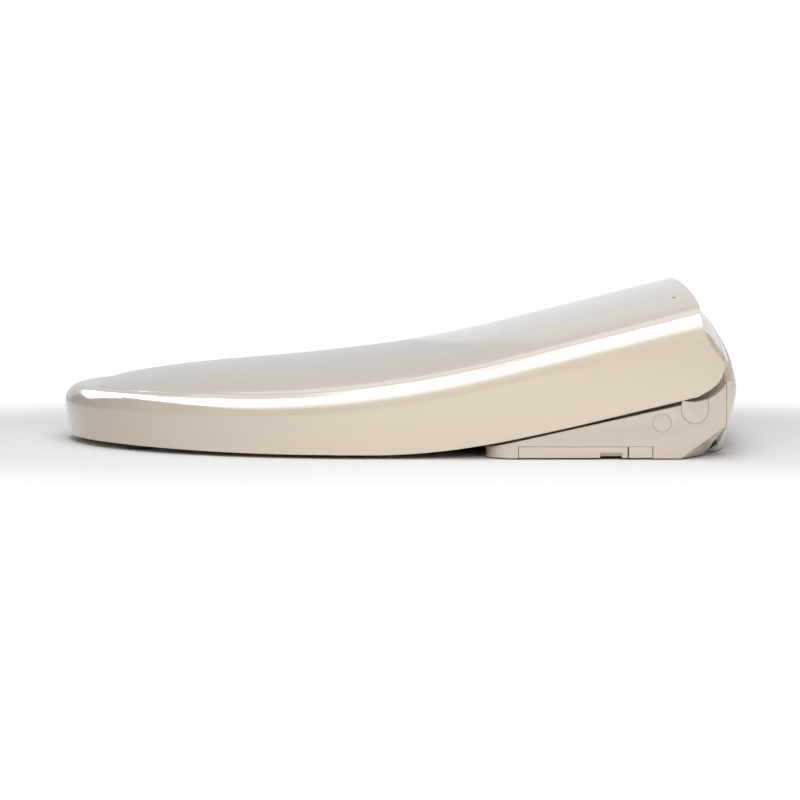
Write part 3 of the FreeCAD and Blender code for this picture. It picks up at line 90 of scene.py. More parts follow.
class Graph:
    """One material's node tree, with its Principled shader."""

    def __init__(self, name: str) -> None:
        """Starts a material with a Principled shader and Object coordinates.

        Args:
            name: the material's name.
        """
        self.material = bpy.data.materials.new(name)
        self.material.use_nodes = True
        self.tree = self.material.node_tree
        self.shader = self.tree.nodes["Principled BSDF"]
        self.place = self.node("ShaderNodeTexCoord", {}, {}, "Object")

    def node(self, kind: str, settings: dict, values: dict, output: int | str = 0) -> Value:
        """Adds any node.

        Args:
            kind: the node's type.
            settings: its properties, set first; "stops" fills a ramp with (position, colour) pairs.
            values: numbers, colours or links for its input sockets.
            output: which output socket to hand back.

        Returns:
            The chosen output.
        """
        made = self.tree.nodes.new(kind)
        for name, value in settings.items():
            if name == "stops":
                elements = made.color_ramp.elements
                while len(elements) < len(value):
                    elements.new(0.5)
                for element, (position, colour) in zip(elements, value):
                    element.position, element.color = position, (*colour, 1.0)
            else:
                setattr(made, name, value)
        for socket, value in values.items():
            if isinstance(value, Value):
                self.tree.links.new(value.socket, made.inputs[socket])
            else:
                made.inputs[socket].default_value = value
        return Value(self, made.outputs[output])

    def feed(self, socket: str, value: Value) -> None:
        """Links a varying value to one of the shader's sockets."""
        self.tree.links.new(value.socket, self.shader.inputs[socket])

    def fix(self, **constants: float | tuple) -> None:
        """Sets plain numbers on the shader, its socket names written with underscores."""
        for name, value in constants.items():
            self.shader.inputs[name.replace("_", " ")].default_value = value

    def stretched(self, scale: Sequence[float]) -> Value:
        """Object coordinates scaled by three numbers."""
        return self.node("ShaderNodeMapping", {}, {"Vector": self.place, "Scale": tuple(scale)})

    def noise(self, scale: float, detail: float = 2.0, stretch: Sequence[float] = (1, 1, 1)) -> Value:
        """Fractal noise between 0 and 1.

        Args:
            scale: cells per metre.
            detail: octaves.
            stretch: how much each axis is squeezed.

        Returns:
            The noise value.
        """
        place = self.stretched(stretch)
        values = {"Vector": place, "Scale": scale, "Detail": detail}
        return self.node("ShaderNodeTexNoise", {}, values, "Fac")

    def spread(self, value: Value, low: float, high: float) -> Value:
        """A 0 to 1 value mapped to a range."""
        return value * (high - low) + low

    def blend(self, mask: Value, first: tuple | Value, second: tuple | Value) -> Value:
        """A colour between two, by a mask."""
        first, second = ((*c, 1.0) if isinstance(c, tuple) and len(c) == 3 else c for c in (first, second))
        return self.node("ShaderNodeMix", {"data_type": "RGBA"}, {0: mask, 6: first, 7: second}, 2)

    def emboss(self, height: Value, depth: float, strength: float = 1.0, over: Value | None = None) -> Value:
        """Feeds a bump to the shader's normal.

        Args:
            height: the relief, 0 to 1.
            depth: metres that 1 stands for.
            strength: the node's strength.
            over: an earlier bump's normal.

        Returns:
            The normal.
        """
        values = {"Strength": strength, "Distance": depth, "Height": height}
        if over is not None:
            values["Normal"] = over
        normal = self.node("ShaderNodeBump", {}, values)
        self.feed("Normal", normal)
        return normal


def tint(red: float, green: float, blue: float) -> tuple[float, float, float]:
    """A colour given in 0 to 255 display values, as linear light."""
    return tuple((c / 255 / 12.92) if c / 255 <= 0.04045 else ((c / 255 + 0.055) / 1.055) ** 2.4
                 for c in (red, green, blue))


# ---------------------------------------------------------------- finishes

@dataclass(frozen=True)
class Finish:
    """A surface finish that a piece can be given."""

    name: str
    colour: tuple[float, float, float]

    def graph(self) -> Graph:
        """The node tree."""
        raise NotImplementedError

    def material(self) -> bpy.types.Material:
        """The material, made once."""
        found = bpy.data.materials.get(self.name)
        return found or self.graph().material


@dataclass(frozen=True)
class GlossShell(Finish):
    """Polished injection-moulded shell: clear skin, faint flow marks, slight orange peel and a little dust."""

    roughness: float = 0.13
    coat: float = 1.0
    mottling: float = 0.03

    def graph(self) -> Graph:
        """The node tree."""
        g = Graph(self.name)
        deep = tuple(c * (1 - self.mottling) for c in self.colour)
        flow = g.noise(9.0, 3.0, (1.0, 0.45, 1.6))
        g.feed("Base Color", g.blend(flow, deep, self.colour))
        smear = g.noise(26.0, 4.0)
        g.feed("Roughness", g.spread(smear, self.roughness - 0.03, self.roughness + 0.05))
        g.emboss(g.noise(420.0, 2.0), 0.00001, 0.12)
        g.fix(IOR=1.5, Coat_Weight=self.coat, Coat_Roughness=0.07)
        return g


@dataclass(frozen=True)
class GrainedPlastic(Finish):
    """Spark-eroded matt moulding with a fine even grain."""

    roughness: float = 0.5
    grain: float = 1900.0

    def graph(self) -> Graph:
        """The node tree."""
        g = Graph(self.name)
        cloud = g.noise(30.0, 3.0)
        g.feed("Base Color", g.blend(cloud, tuple(c * 0.93 for c in self.colour), self.colour))
        values = {"Vector": g.place, "Scale": self.grain}
        pits = g.node("ShaderNodeTexVoronoi", {"feature": "F1"}, values, "Distance")
        g.feed("Roughness", g.spread(cloud, self.roughness - 0.05, self.roughness + 0.08))
        g.emboss(pits, 0.00005, 0.35)
        g.fix(IOR=1.46)
        return g


@dataclass(frozen=True)
class SoftRubber(Finish):
    """Matt rubber with a dusty bloom."""

    def graph(self) -> Graph:
        """The node tree."""
        g = Graph(self.name)
        bloom = g.noise(60.0, 5.0)
        g.feed("Base Color", g.blend(bloom, self.colour, tuple(min(1.0, c * 1.25 + 0.01) for c in self.colour)))
        g.feed("Roughness", g.spread(bloom, 0.6, 0.85))
        g.emboss(g.noise(900.0, 3.0), 0.00004, 0.4)
        g.fix(IOR=1.5)
        return g


@dataclass(frozen=True)
class WorkedMetal(Finish):
    """Bare metal with fine machining lines along one axis."""

    lines: tuple[float, float, float] = (0.04, 1.0, 1.0)
    roughness: float = 0.28

    def graph(self) -> Graph:
        """The node tree."""
        g = Graph(self.name)
        streak = g.noise(1400.0, 2.0, self.lines)
        cloud = g.noise(45.0, 4.0)
        g.feed("Base Color", g.blend(cloud, tuple(c * 0.82 for c in self.colour), self.colour))
        g.feed("Roughness", g.spread(streak * 0.6 + cloud * 0.4, self.roughness - 0.1, self.roughness + 0.14))
        g.emboss(streak, 0.00002, 0.3)
        g.fix(Metallic=1.0)
        return g


@dataclass(frozen=True)
class DarkLens(Finish):
    """Smoked infra-red window, glossy, with a red depth."""

    def graph(self) -> Graph:
        """The node tree."""
        g = Graph(self.name)
        depth = g.noise(70.0, 2.0)
        g.feed("Base Color", g.blend(depth, self.colour, tuple(c * 2.2 for c in self.colour)))
        g.feed("Roughness", g.spread(depth, 0.04, 0.09))
        g.fix(IOR=1.52, Coat_Weight=0.8, Coat_Roughness=0.03)
        return g


@dataclass(frozen=True)
class CircuitBoard(Finish):
    """Solder mask over a grid of copper tracks."""

    copper: tuple[float, float, float] = (0.10, 0.42, 0.16)

    def graph(self) -> Graph:
        """The node tree."""
        g = Graph(self.name)
        values = {"Vector": g.stretched((1, 1, 1)), "Scale": 260.0, "Mortar Size": 0.028, "Brick Width": 0.9,
                  "Row Height": 0.3}
        tracks = g.node("ShaderNodeTexBrick", {}, values, "Fac")
        cloud = g.noise(120.0, 3.0)
        g.feed("Base Color", g.blend(tracks, g.blend(cloud, self.colour, tuple(c * 1.3 for c in self.colour)),
                                     self.copper))
        g.feed("Roughness", g.spread(cloud, 0.25, 0.45))
        g.emboss(tracks, 0.00004, 0.6)
        return g


@dataclass(frozen=True)
class HeaterFilm(Finish):
    """Amber film with a winding foil element."""

    foil: tuple[float, float, float] = (0.55, 0.50, 0.42)

    def graph(self) -> Graph:
        """The node tree."""
        g = Graph(self.name)
        wave = g.node("ShaderNodeTexWave", {"wave_type": "BANDS", "bands_direction": "DIAGONAL"},
                      {"Vector": g.place, "Scale": 55.0, "Distortion": 3.0, "Detail": 0.0}, "Fac")
        element = wave > 0.62
        g.feed("Base Color", g.blend(element, self.colour, self.foil))
        g.feed("Roughness", g.spread(element, 0.35, 0.22))
        g.feed("Metallic", g.spread(element, 0.0, 0.9))
        g.emboss(element, 0.00005, 0.5)
        return g


@dataclass(frozen=True)
class Charcoal(Finish):
    """Packed carbon granules."""

    def graph(self) -> Graph:
        """The node tree."""
        g = Graph(self.name)
        cells = g.node("ShaderNodeTexVoronoi", {"feature": "F1"}, {"Vector": g.place, "Scale": 850.0}, "Distance")
        g.feed("Base Color", g.blend(cells, tuple(c * 1.8 for c in self.colour), self.colour))
        g.feed("Roughness", g.spread(cells, 0.5, 0.95))
        g.emboss(1 - cells, 0.0006, 0.9)
        return g


@dataclass(frozen=True)
class BraidedSleeve(Finish):
    """Woven cable sleeve."""

    def graph(self) -> Graph:
        """The node tree."""
        g = Graph(self.name)
        checks = [g.node("ShaderNodeTexWave", {"wave_type": "BANDS", "bands_direction": way},
                         {"Vector": g.stretched((1, turn, 1)), "Scale": 420.0}, "Fac")
                  for way, turn in (("DIAGONAL", 1), ("DIAGONAL", -1))]
        weave = checks[0] * checks[1]
        g.feed("Base Color", g.blend(weave, self.colour, tuple(c * 2.5 + 0.01 for c in self.colour)))
        g.feed("Roughness", g.spread(weave, 0.75, 0.5))
        g.emboss(weave, 0.0003, 0.6)
        return g


class Finishes(Enum):
    """Every finish on the seat."""

    SHELL = GlossShell("gloss_beige", tint(222, 206, 187))
    SEAT = GlossShell("seat_beige", tint(224, 208, 188), roughness=0.16)
    # The case beige is a little darker and greyer than the lid's. That darkening is painted shade, standing in for
    # the shade under the lid's edge.
    CASE = GlossShell("case_beige", tint(215, 200, 183), roughness=0.17)
    WAND = GlossShell("wand_white", tint(238, 238, 234), roughness=0.12, mottling=0.015)
    TRAY = GrainedPlastic("tray_grained", tint(190, 178, 163))
    PLATE = GrainedPlastic("plate_grained", tint(222, 219, 211), roughness=0.45)
    WHITE = GrainedPlastic("moulding_white", tint(226, 225, 220), roughness=0.4, grain=2500.0)
    DARK = GrainedPlastic("moulding_black", tint(36, 36, 38), roughness=0.42)
    TANK = GrainedPlastic("glass_filled_dark", tint(58, 60, 62), roughness=0.55, grain=900.0)
    CHIP = GrainedPlastic("chip_black", tint(30, 30, 31), roughness=0.35, grain=2600.0)
    RUBBER = SoftRubber("rubber_grey", tint(70, 68, 66))
    # The buffers' dark grey is partly their rubber and partly painted shade. They are darkened so they merge into
    # the shadow under the lid.
    BUFFER = SoftRubber("rubber_buffer", tint(62, 60, 58))
    HOSE = SoftRubber("silicone_milky", tint(225, 224, 218))
    STEEL = WorkedMetal("turned_steel", (0.62, 0.62, 0.63))
    CAN = WorkedMetal("plated_can", (0.56, 0.56, 0.57), lines=(1.0, 1.0, 0.05), roughness=0.34)
    BRASS = WorkedMetal("turned_brass", (0.80, 0.60, 0.30), lines=(0.3, 1.0, 1.0), roughness=0.24)
    LENS = DarkLens("window_smoked", (0.010, 0.004, 0.006))
    BOARD = CircuitBoard("solder_mask", (0.012, 0.10, 0.035))
    FILM = HeaterFilm("foil_heater", (0.50, 0.20, 0.04))
    CARBON = Charcoal("carbon_filter", (0.012, 0.012, 0.013))
    LOOM = BraidedSleeve("loom_sleeve", (0.012, 0.012, 0.013))


SLOT_FINISH = {
    "shell_beige": Finishes.SHELL, "tray_plastic": Finishes.TRAY, "plate_plastic": Finishes.PLATE,
    "soft_rubber": Finishes.RUBBER, "buffer_rubber": Finishes.BUFFER, "wand_plastic": Finishes.WAND,
    "white_plastic": Finishes.WHITE, "steel": Finishes.STEEL, "dark_plastic": Finishes.DARK,
    "lens_dark": Finishes.LENS, "motor_steel": Finishes.CAN, "tank_plastic": Finishes.TANK,
    "hose_rubber": Finishes.HOSE, "brass_fitting": Finishes.BRASS, "board_green": Finishes.BOARD,
    "component_black": Finishes.CHIP, "heater_film": Finishes.FILM, "loom_black": Finishes.LOOM,
}


NODE_FINISH = {
    "deodorizer_filter": Finishes.CARBON, "seat_top": Finishes.SEAT, "upper_case": Finishes.CASE,
    "rear_cover": Finishes.CASE, "hinge_cover_left": Finishes.CASE, "hinge_cover_right": Finishes.CASE,
    "screw_plugs": Finishes.CASE, "drawer_front": Finishes.CASE, "release_button": Finishes.CASE,
}


def node_finish(node: str, slot: str) -> Finishes:
    """A node's own finish, or else the one of its slot."""
    return NODE_FINISH.get(node, SLOT_FINISH[slot])


def dress_frame() -> None:
    """Gives every node of the frame the finish of its own slot."""
    slots = {row["node"]: row["material_slot"] for row in frame["record"]["subparts"]}
    for name, node in frame["nodes"].items():
        node.data.materials.clear()
        node.data.materials.append(node_finish(name, slots[name]).value.material())


# ---------------------------------------------------------------- mesh helpers

def eased(value: float) -> float:
    """A number held between 0 and 1, with a soft start and end."""
    held = min(1.0, max(0.0, value))
    return held ** 2 * (3 - 2 * held)


def joint_place(name: str) -> Vector:
    """A joint's position at rest."""
    return Vector(next(j["pos_m"] for j in frame["record"]["behaviour"]["joints"] if j["name"] == name))


def finished(mesh: bmesh.types.BMesh, name: str, body: str, finish: Finishes, slot: str,
             replaced: Iterable[str] = (), smooth: float = 35.0) -> bpy.types.Object:
    """Turns a bmesh into a piece that rides on a body.

    Args:
        mesh: the modelled mesh, freed afterwards.
        name: the piece's name.
        body: the body it moves with.
        finish: its finish.
        slot: the record's material slot that it stands for; not used.
        replaced: the nodes that it takes the place of.
        smooth: degrees above which an edge is left sharp.

    Returns:
        The new object.
    """
    data = bpy.data.meshes.new(name)
    for face in mesh.faces:
        face.smooth = True
    for edge in mesh.edges:
        edge.smooth = len(edge.link_faces) == 2 and edge.calc_face_angle(0.0) < math.radians(smooth)
    mesh.to_mesh(data)
    mesh.free()
    piece = bpy.data.objects.new(name, data)
    bpy.context.scene.collection.objects.link(piece)
    data.materials.append(finish.value.material())
    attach(piece, body)
    if replaced:
        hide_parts(*replaced)
    log.info("%s: %d faces on %s", name, len(data.polygons), body)
    return piece


def mapped_grid(across: int, along: int, place: Callable[[float, float], Vector]) -> bmesh.types.BMesh:
    """A grid whose vertices are sent where a function of two shares says.

    Args:
        across: cells in the first direction.
        along: cells in the second direction.
        place: gives a point for two shares from 0 to 1.

    Returns:
        The mesh.
    """
    mesh = bmesh.new()
    bmesh.ops.create_grid(mesh, x_segments=across, y_segments=along, size=0.5)
    for vertex in mesh.verts:
        vertex.co = place(vertex.co.x + 0.5, vertex.co.y + 0.5)
    return mesh


def mirrored_whole(mesh: bmesh.types.BMesh) -> None:
    """Adds the other half across X, welds the middle and points the faces outwards."""
    bmesh.ops.mirror(mesh, geom=mesh.verts[:] + mesh.edges[:] + mesh.faces[:], axis="X", merge_dist=0.00002)
    bmesh.ops.remove_doubles(mesh, verts=mesh.verts, dist=0.00002)
    bmesh.ops.dissolve_degenerate(mesh, edges=mesh.edges, dist=0.00001)
    bmesh.ops.recalc_face_normals(mesh, faces=mesh.faces)


# ---------------------------------------------------------------- mouldings

@dataclass
class Mouldings:
    """Parts whose sharp edges get the small roundings of a real mould or die."""

    sharp: float = math.radians(28)
    flat: float = math.radians(0.6)
    weld: float = 0.01 * MM
    widths: dict[str, float] = field(default_factory=lambda: {
        "upper_case": 0.5, "rear_cover": 0.5, "lower_case": 0.4, "drawer_front": 0.35, "release_button": 0.35,
        "hinge_cover_left": 0.35, "hinge_cover_right": 0.35, "screw_plugs": 0.35, "receiver_window": 0.4,
        "base_plate": 0.6, "plate_pads": 0.5, "bolt_slider_left": 0.5, "bolt_slider_right": 0.5, "unit_feet": 0.5,
        "seat_top": 0.6, "seat_buffers": 0.8, "lid_buffers": 0.8, "inlet_filter_cap": 0.5, "inlet_fitting": 0.4,
        "cord_gland": 0.5, "wand_cradle": 0.4, "wand_motor": 0.5, "filter_housing": 0.6, "solenoid_valve": 0.5,
        "water_heater": 1.0, "pump": 0.5, "dryer_housing": 0.6, "dryer_motor": 0.5, "dryer_duct": 0.5,
        "fan_housing": 0.5, "power_module": 1.0, "seat_damper": 0.4, "lid_damper": 0.4, "wand_tip": 0.3,
        "board_components": 0.2,
    })

    def build(self) -> None:
        """Makes a rounded copy of each part in its place."""
        record = frame["record"]
        slots = {row["node"]: row["material_slot"] for row in record["subparts"]}
        bodies = {node: body for body, nodes in record["behaviour"]["bodies"].items() for node in nodes}
        for node, width in self.widths.items():
            finish = node_finish(node, slots[node])
            finished(self.rounded(node, width * MM), f"{node}_soft", bodies[node], finish, slots[node], [node])

    def rounded(self, node: str, width: float) -> bmesh.types.BMesh:
        """A merged copy of a node with its sharp edges rounded.

        Args:
            node: the node.
            width: the rounding's width.

        Returns:
            The mesh.
        """
        mesh = bmesh.new()
        mesh.from_mesh(frame["nodes"][node].data)
        mesh.transform(frame["nodes"][node].matrix_world)
        bmesh.ops.remove_doubles(mesh, verts=mesh.verts, dist=self.weld)
        bmesh.ops.dissolve_limit(mesh, angle_limit=self.flat, verts=mesh.verts, edges=mesh.edges)
        edges = [e for e in mesh.edges if len(e.link_faces) == 2 and e.calc_face_angle(0.0) > self.sharp]
        bmesh.ops.bevel(mesh, geom=edges, offset=width, offset_type="OFFSET", segments=2, profile=0.5,
                        affect="EDGES", material=-1, clamp_overlap=True)
        return mesh


@dataclass(frozen=True)
class Bend:
    """A level line, an arc and a rising line, seen from the side."""

    low: float
    slope: float
    corner: float
    radius: float

    def height(self, y: float) -> float:
        """The line's height above a place along the seat."""
        lean = math.atan(self.slope)
        start = self.corner - self.radius * math.tan(lean / 2)
        into = y - start
        if into <= 0:
            return self.low
        if into < self.radius * math.sin(lean):
            return self.low + self.radius - math.sqrt(self.radius ** 2 - into ** 2)
        return self.low + self.slope * (y - self.corner)


# ---------------------------------------------------------------- lid

@dataclass
class Lid:
    """The domed lid with its side skirts, hinge bosses and a small plug."""

    half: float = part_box("lid_shell")[1][0]
    tip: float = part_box("lid_shell")[0][1]
    centre: float = -225 * MM
    pivot: Vector = field(default_factory=lambda: joint_place("lid_hinge"))
    ledge: Bend = Bend(43 * MM, 0.25, -230 * MM, 814 * MM)
    hem: Bend = Bend(3 * MM, 0.2412, -173.9 * MM, 470 * MM)
    wall: float = 3 * MM
    rounding: float = 13 * MM
    crease: float = 15 * MM
    crease_tip: float = 9 * MM
    rise: float = 18.8 * MM
    pillow: float = 3.1 * MM
    pillow_run: tuple[float, float] = (9 * MM, 30 * MM)
    brow: float = 1.8 * MM
    brow_turn: float = math.radians(25)
    sag: float = 1.5 * MM
    tip_lift: float = 2 * MM
    draft: float = 3 * MM
    tuck: float = 1.6 * MM
    rise_half: float = 175 * MM
    spread_power: float = 0.92
    pillow_fall: float = 25
    skirt: float = 23.2 * MM
    corner_turn: float = math.radians(-42)
    turn_share: float = 0.42
    tip_zone: tuple[float, float] = (-290 * MM, 170 * MM)
    sag_zone: tuple[float, float] = (-160 * MM, 90 * MM)
    tuck_zone: tuple[float, float] = (2 * MM, 26 * MM)
    rear_line: tuple[tuple[float, float], ...] = (
        (56.0, 42.0), (70.0, 28.2), (79.4, 20.2), (90.0, 14.3), (102.0, 11.0), (108.0, 12.0),
        (114.0, 11.8), (119.5, 9.4), (123.5, 5.4), (126.0, 1.6), (160.0, -50.0), (180.0, -80.0))
    stations_nose: int = 64
    stations_side: int = 56
    cells: tuple[int, int] = (120, 100)
    shares: tuple[float, ...] = (0.34, 0.56, 0.66)
    rim_bevel: float = 0.9 * MM
    rim_sharp: float = math.radians(55)
    boss_inner: float = 184.6 * MM
    boss_radius: float = 11 * MM
    boss_sink: float = 0.3 * MM
    boss_bevel: float = 0.6 * MM
    plug_radius: float = 1.5 * MM
    plug_depth: float = 1.2 * MM
    plug_sink: float = 0.35 * MM
    plug_bevel: float = 0.25 * MM
    plug_share: float = 0.94
    plug_spread: float = 0.63

    def outline(self, u: float) -> tuple[Vector, Vector, float]:
        """A point on the plan outline, the way inwards there, and how far along the straight side it is.

        Args:
            u: 0 at the nose's tip, 1 at the rear.

        Returns:
            The point, the inward direction and a share that is 0 on the nose and 1 at the rear.
        """
        nose_share = self.stations_nose / (self.stations_nose + self.stations_side)
        long = self.centre - self.tip
        if u <= nose_share:
            turn = math.pi / 2 * (u / nose_share) ** 0.9
            point = Vector((self.half * math.sin(turn), self.centre - long * math.cos(turn), 0))
            inward = Vector((-math.sin(turn) / self.half, math.cos(turn) / long, 0)).normalized()
            return point, inward, 0.0
        share = (u - nose_share) / (1 - nose_share)
        return Vector((self.half, self.centre, 0)), Vector((-1, 0, 0)), share

    def rear_edge(self, z: float) -> float:
        """How far back the lid reaches at a height: a smooth curve through the rear line's (height, reach) rows."""
        steps = self.rear_line
        level = min(max(z / MM, steps[1][0]), steps[-2][0])
        row = next(i for i in range(1, len(steps) - 2) if level <= steps[i + 1][0])
        (za, ya), (z0, y0), (z1, y1), (zb, yb) = steps[row - 1:row + 3]
        t, long = (level - z0) / (z1 - z0), z1 - z0
        tilt0, tilt1 = (y1 - ya) / (z1 - za) * long, (yb - y0) / (zb - z0) * long
        return (y0 * (2 * t ** 3 - 3 * t ** 2 + 1) + tilt0 * (t ** 3 - 2 * t ** 2 + t)
                + y1 * (3 * t ** 2 - 2 * t ** 3) + tilt1 * (t ** 3 - t ** 2)) * MM

    def hem_height(self, y: float) -> float:
        """The lower edge's height, which follows a circle about the pivot at the rear."""
        lean = math.atan(self.hem.slope)
        if y < self.pivot.y + self.skirt * math.sin(lean):
            ahead = eased((self.tip_zone[0] - y) / self.tip_zone[1])
            beside = eased((y - self.sag_zone[0]) / self.sag_zone[1])
            return self.hem.height(y) + self.tip_lift * ahead - self.sag * beside
        return self.pivot.z - math.sqrt(max(0.0, self.skirt ** 2 - (y - self.pivot.y) ** 2))

    def wall_end(self, drop: float) -> tuple[float, float]:
        """The skirt's rear boundary, from the shoulder down to its lowest corner.

        Args:
            drop: 0 at the shoulder, 1 at the corner on the circle.

        Returns:
            Its place along the seat, and its height.
        """
        turn_share = self.turn_share
        shoulder = self.ledge.height(10 * MM) - self.rounding
        if drop < 1 - turn_share:
            z = shoulder + (self.pivot.z - shoulder) * drop / (1 - turn_share)
            return self.rear_edge(z), z
        turn = self.corner_turn * (drop - 1 + turn_share) / turn_share
        return self.pivot.y + self.skirt * math.cos(turn), self.pivot.z + self.skirt * math.sin(turn)

    def place(self, u: float, v: float) -> Vector:
        """A point of the right half's outer skin.

        Args:
            u: 0 at the nose's tip, 1 at the rear edge.
            v: 0 on the middle line, then out over the dome, the ledge and the shoulder, and down to the hem at 1.

        Returns:
            The point.
        """
        point, inward, share = self.outline(u)
        dome_end, ledge_end, round_end = self.shares
        if v <= dome_end:
            spread = math.sin(v / dome_end * math.pi / 2) ** self.spread_power
            return self.dome_point(point + inward * self.crease_inset(point), share, spread)
        brow_turn = self.brow_turn * self.flank(point.y)
        if v <= ledge_end:
            along = (v - dome_end) / (ledge_end - dome_end)
            crease, raised = self.crease_inset(point), self.brow * self.flank(point.y)
            inset = crease + (self.rounding * (1 - math.sin(brow_turn)) - crease) * along
            drop = -raised + (raised + self.rounding * (1 - math.cos(brow_turn))) * along
            return self.shelf_point(point, inward, share, inset, drop)
        if v <= round_end:
            turn = brow_turn + (v - ledge_end) / (round_end - ledge_end) * (math.pi / 2 - brow_turn)
            return self.shelf_point(point, inward, share, self.rounding * (1 - math.sin(turn)),
                                    self.rounding * (1 - math.cos(turn)))
        return self.wall_point(point, inward, share, (v - round_end) / (1 - round_end))

    def wall_point(self, point: Vector, inward: Vector, share: float, drop: float) -> Vector:
        """A point on the upright wall.

        Args:
            point: the outline's point.
            inward: the way inwards there.
            share: 0 on the nose, then up to 1 along the straight side.
            drop: 0 under the shoulder, 1 at the hem.

        Returns:
            The point.
        """
        end_y, end_z = self.wall_end(drop)
        y = point.y + (end_y - point.y) * share if share else point.y
        top, low = self.ledge.height(y) - self.rounding, self.hem_height(y)
        z = top + (low - top) * drop
        if share:
            end_top = self.ledge.height(end_y) - self.rounding
            off = end_z - (end_top + (self.hem_height(end_y) - end_top) * drop)
            z += off * share ** 5
        nose = max(0.0, (self.centre - point.y) / (self.centre - self.tip)) ** 2
        tucked = self.tuck * max(0.0, (y - self.tuck_zone[0]) / self.tuck_zone[1]) ** 2
        away = inward * (self.draft * nose * max(0.0, drop) ** 1.5 + tucked)
        return Vector((point.x + away.x, y + away.y, z))

    def crease_inset(self, point: Vector) -> float:
        """How far inside the outline the dome begins: further in at the nose's tip."""
        ahead = max(0.0, (self.centre - point.y) / (self.centre - self.tip))
        return self.crease + self.crease_tip * ahead ** 6

    def flank(self, y: float) -> float:
        """1 along the straight sides, falling to 0 at the nose's tip."""
        return 1 - max(0.0, (self.centre - y) / (self.centre - self.tip)) ** 2

    def rim_gap(self, x: float, y: float) -> float:
        """Roughly how far inside the crease a place is."""
        wide, long = self.half - self.crease, self.centre - self.tip - self.crease - self.crease_tip
        if y >= self.centre:
            return wide - abs(x)
        reach = math.hypot(x / wide, (y - self.centre) / long)
        slope = math.hypot(x / wide ** 2, (y - self.centre) / long ** 2) / max(reach, 1e-6)
        return max(0.0, 1 - reach) / max(slope, 1e-6)

    def shelf_point(self, point: Vector, inward: Vector, share: float, inset: float, drop: float) -> Vector:
        """A point on the ledge or shoulder, at an inset from the outline and a drop below the ledge."""
        at = point + inward * inset
        y = at.y
        for _ in range(3):
            z = self.ledge.height(y) - drop
            y = at.y + (self.rear_edge(z) - at.y) * share if share else at.y
        return Vector((at.x, y, self.ledge.height(y) - drop))

    def dome_point(self, edge: Vector, share: float, spread: float) -> Vector:
        """A point on the dome: spread is 0 on the middle line and 1 at the crease."""
        x, y = edge.x * spread, edge.y
        lift = self.rise * (edge.x ** 2 - x ** 2) / self.rise_half ** 2
        flank, (tip_run, side_run) = self.flank(y), self.pillow_run
        run = tip_run + (side_run - tip_run) * flank
        brow = self.brow * flank
        swell = (1 - math.exp(-self.rim_gap(x, y) / run)) * min(1.0, self.pillow_fall * (1 - spread))
        lift += brow + (self.pillow - brow) * swell
        for _ in range(3):
            z = self.ledge.height(y) + lift
            y = edge.y + (self.rear_edge(z) - edge.y) * share if share else edge.y
        return Vector((x, y, self.ledge.height(y) + lift))

    def build(self) -> None:
        """Makes the shell and the hinge bosses."""
        mesh = mapped_grid(*self.cells, self.place)
        mirrored_whole(mesh)
        if sum(face.normal.z for face in mesh.faces) < 0:
            bmesh.ops.reverse_faces(mesh, faces=mesh.faces)
        shell = finished(mesh, "lid_skin", "lid", Finishes.SHELL, "shell_beige", ["lid_shell"], smooth=60)
        thick = shell.modifiers.new("wall", "SOLIDIFY")
        thick.thickness, thick.offset, thick.use_even_offset = self.wall, -1.0, True
        edge = shell.modifiers.new("rim", "BEVEL")
        edge.width, edge.segments = self.rim_bevel, 3
        edge.limit_method, edge.angle_limit = "ANGLE", self.rim_sharp
        self.build_bosses()
        self.build_plug()

    def build_plug(self) -> None:
        """The small round plug near the dome's rear edge on the left."""
        edge, step = Vector((self.half - self.crease, self.centre, 0)), 0.01
        at, beside, behind = (self.dome_point(edge, self.plug_share + back, self.plug_spread + out)
                              for back, out in ((0, 0), (0, step), (step, 0)))
        normal = (beside - at).cross(behind - at).normalized()
        normal *= 1 if normal.z > 0 else -1
        turn = Vector((0, 0, 1)).rotation_difference(normal).to_matrix().to_4x4()
        mesh = bmesh.new()
        bmesh.ops.create_cone(mesh, cap_ends=True, segments=32, radius1=self.plug_radius, radius2=self.plug_radius,
                              depth=self.plug_depth, matrix=Matrix.Translation(at - normal * self.plug_sink) @ turn)
        rims = [e for e in mesh.edges if e.calc_face_angle(0) > 1]
        bmesh.ops.bevel(mesh, geom=rims, offset=self.plug_bevel, offset_type="OFFSET", segments=2, profile=0.5,
                        affect="EDGES", material=-1)
        finished(mesh, "lid_plug", "lid", Finishes.RUBBER, "buffer_rubber")

    def build_bosses(self) -> None:
        """Round bosses inside the two skirts, where the shafts enter."""
        for side, name in ((1, "lid_boss_left"), (-1, "lid_boss_right")):
            mesh = bmesh.new()
            outer, inner = self.half - self.wall + self.boss_sink, self.boss_inner
            turn = Matrix.Rotation(math.pi / 2, 4, "Y")
            at = Matrix.Translation((side * (outer + inner) / 2, self.pivot.y, self.pivot.z))
            bmesh.ops.create_cone(mesh, cap_ends=True, segments=64, radius1=self.boss_radius,
                                  radius2=self.boss_radius, depth=outer - inner, matrix=at @ turn)
            middle = (outer + inner) / 2
            rims = [e for e in mesh.edges if e.calc_face_angle(0) > 1 and abs(e.verts[0].co.x) < middle]
            bmesh.ops.bevel(mesh, geom=rims, offset=self.boss_bevel, offset_type="OFFSET", segments=3, profile=0.5,
                            affect="EDGES", material=-1)
            finished(mesh, name, "lid", Finishes.SHELL, "shell_beige")


# ---------------------------------------------------------------- stage

